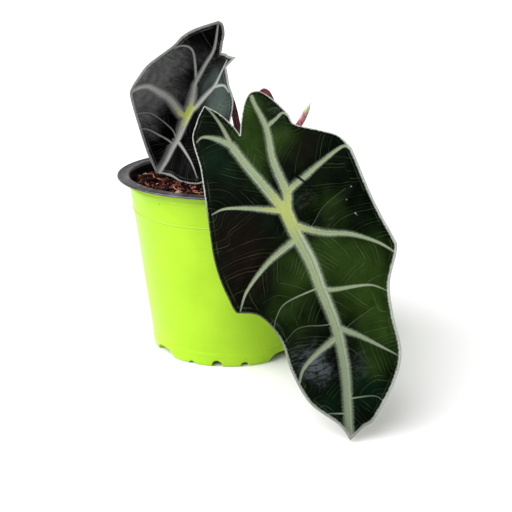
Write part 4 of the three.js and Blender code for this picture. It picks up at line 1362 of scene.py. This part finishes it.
def makeStem(name, stem, leaf, material):
    line = routeCurve(stem["route"], 1.1)
    share = np.linspace(0, 1, len(line))
    radius = stem["radius"] * (1 + 0.22 * np.exp(-share * 9)) * (1 - 0.1 * share)
    radius *= 1 - 0.4 * stepUp(share, 0.95, 1)
    # the last stretch runs along the back of the blade and into its midrib
    fromJoint = line - leaf["joint"]
    flat = np.stack([fromJoint @ unit(np.array(leaf[way])) for way in ("along", "across")], 1).clip(-30, 30)
    normals = bladeNormals(leaf, flat)
    depth = ((line - bladeSurface(leaf, flat)) * normals).sum(1)
    near = np.linalg.norm(fromJoint, axis=1) < 40
    line = line - normals * (np.maximum(depth + radius + 0.6, 0) * near)[:, None]
    return sweep(name, [line], [radius], {"Sides": 28, "Lump Height": 0.0004, "Lump Scale": 160.0,
                                          "Material": material})


burgundy = stemMaterial()
settle(makeStem("stem_large", largeStem, largeLeaf, burgundy), "stem", "petiole_large")
settle(makeStem("stem_small", smallStem, smallLeaf, burgundy), "stem", "petiole_small")
print("stems made")


# floor, light and camera

studio = {
    "floorTone": 0.86,
    "skyStrength": 0.42,
    "sunStrength": 5.8, "sunAngle": 80.0, "sunAzimuth": -60.0, "sunElevation": 42.0,
    "lens": 70.0, "cameraPlace": (0.0, -0.6205, 0.2535), "pitch": 17.58, "yaw": 1.64,
}


def makeFloor():
    mesh = bpy.data.meshes.new("studio_floor")
    mesh.from_pydata([(-6, -6, 0), (6, -6, 0), (6, 6, 0), (-6, 6, 0)], [], [(0, 1, 2, 3)])
    material, tree = newMaterial("paleFloor", 0.8)
    tone, paler = [(value, value, value, 1.0) for value in (studio["floorTone"], studio["floorTone"] * 1.02)]
    mesh.materials.append(wired(material, mixed(noiseOf(objectPlace(tree), 3.0, 2), tone, paler)))
    placed("studio_floor", mesh)


def direction(azimuth, elevation):
    return Vector((math.sin(azimuth) * math.cos(elevation), math.cos(azimuth) * math.cos(elevation),
                   math.sin(elevation)))


def makeKeyLight():  # one broad soft light, high on the viewer's left
    lamp = bpy.data.lights.new("key_light", "SUN")
    lamp.energy = studio["sunStrength"]
    lamp.angle = math.radians(studio["sunAngle"])
    towards = direction(math.pi - math.radians(studio["sunAzimuth"]), math.radians(studio["sunElevation"]))
    placed("key_light", lamp).rotation_euler = (-towards).to_track_quat("-Z", "Y").to_euler()


def makeCamera():
    lens = bpy.data.cameras.new("studio_camera")
    lens.lens = studio["lens"]
    lens.sensor_width = 36.0
    camera = placed("studio_camera", lens)
    ahead = direction(math.radians(studio["yaw"]), -math.radians(studio["pitch"]))
    camera.location = Vector(studio["cameraPlace"]) + Vector(potAxis)
    camera.rotation_euler = ahead.to_track_quat("-Z", "Y").to_euler()
    scene.camera = camera


def makeSky():
    sky = bpy.data.worlds.new("softStudio")
    sky.use_nodes = True
    sky.node_tree.nodes["Background"].inputs["Color"].default_value = (1, 1, 1, 1)
    sky.node_tree.nodes["Background"].inputs["Strength"].default_value = studio["skyStrength"]
    scene.world = sky


makeFloor()
makeKeyLight()
makeSky()
makeCamera()
print("studio made")
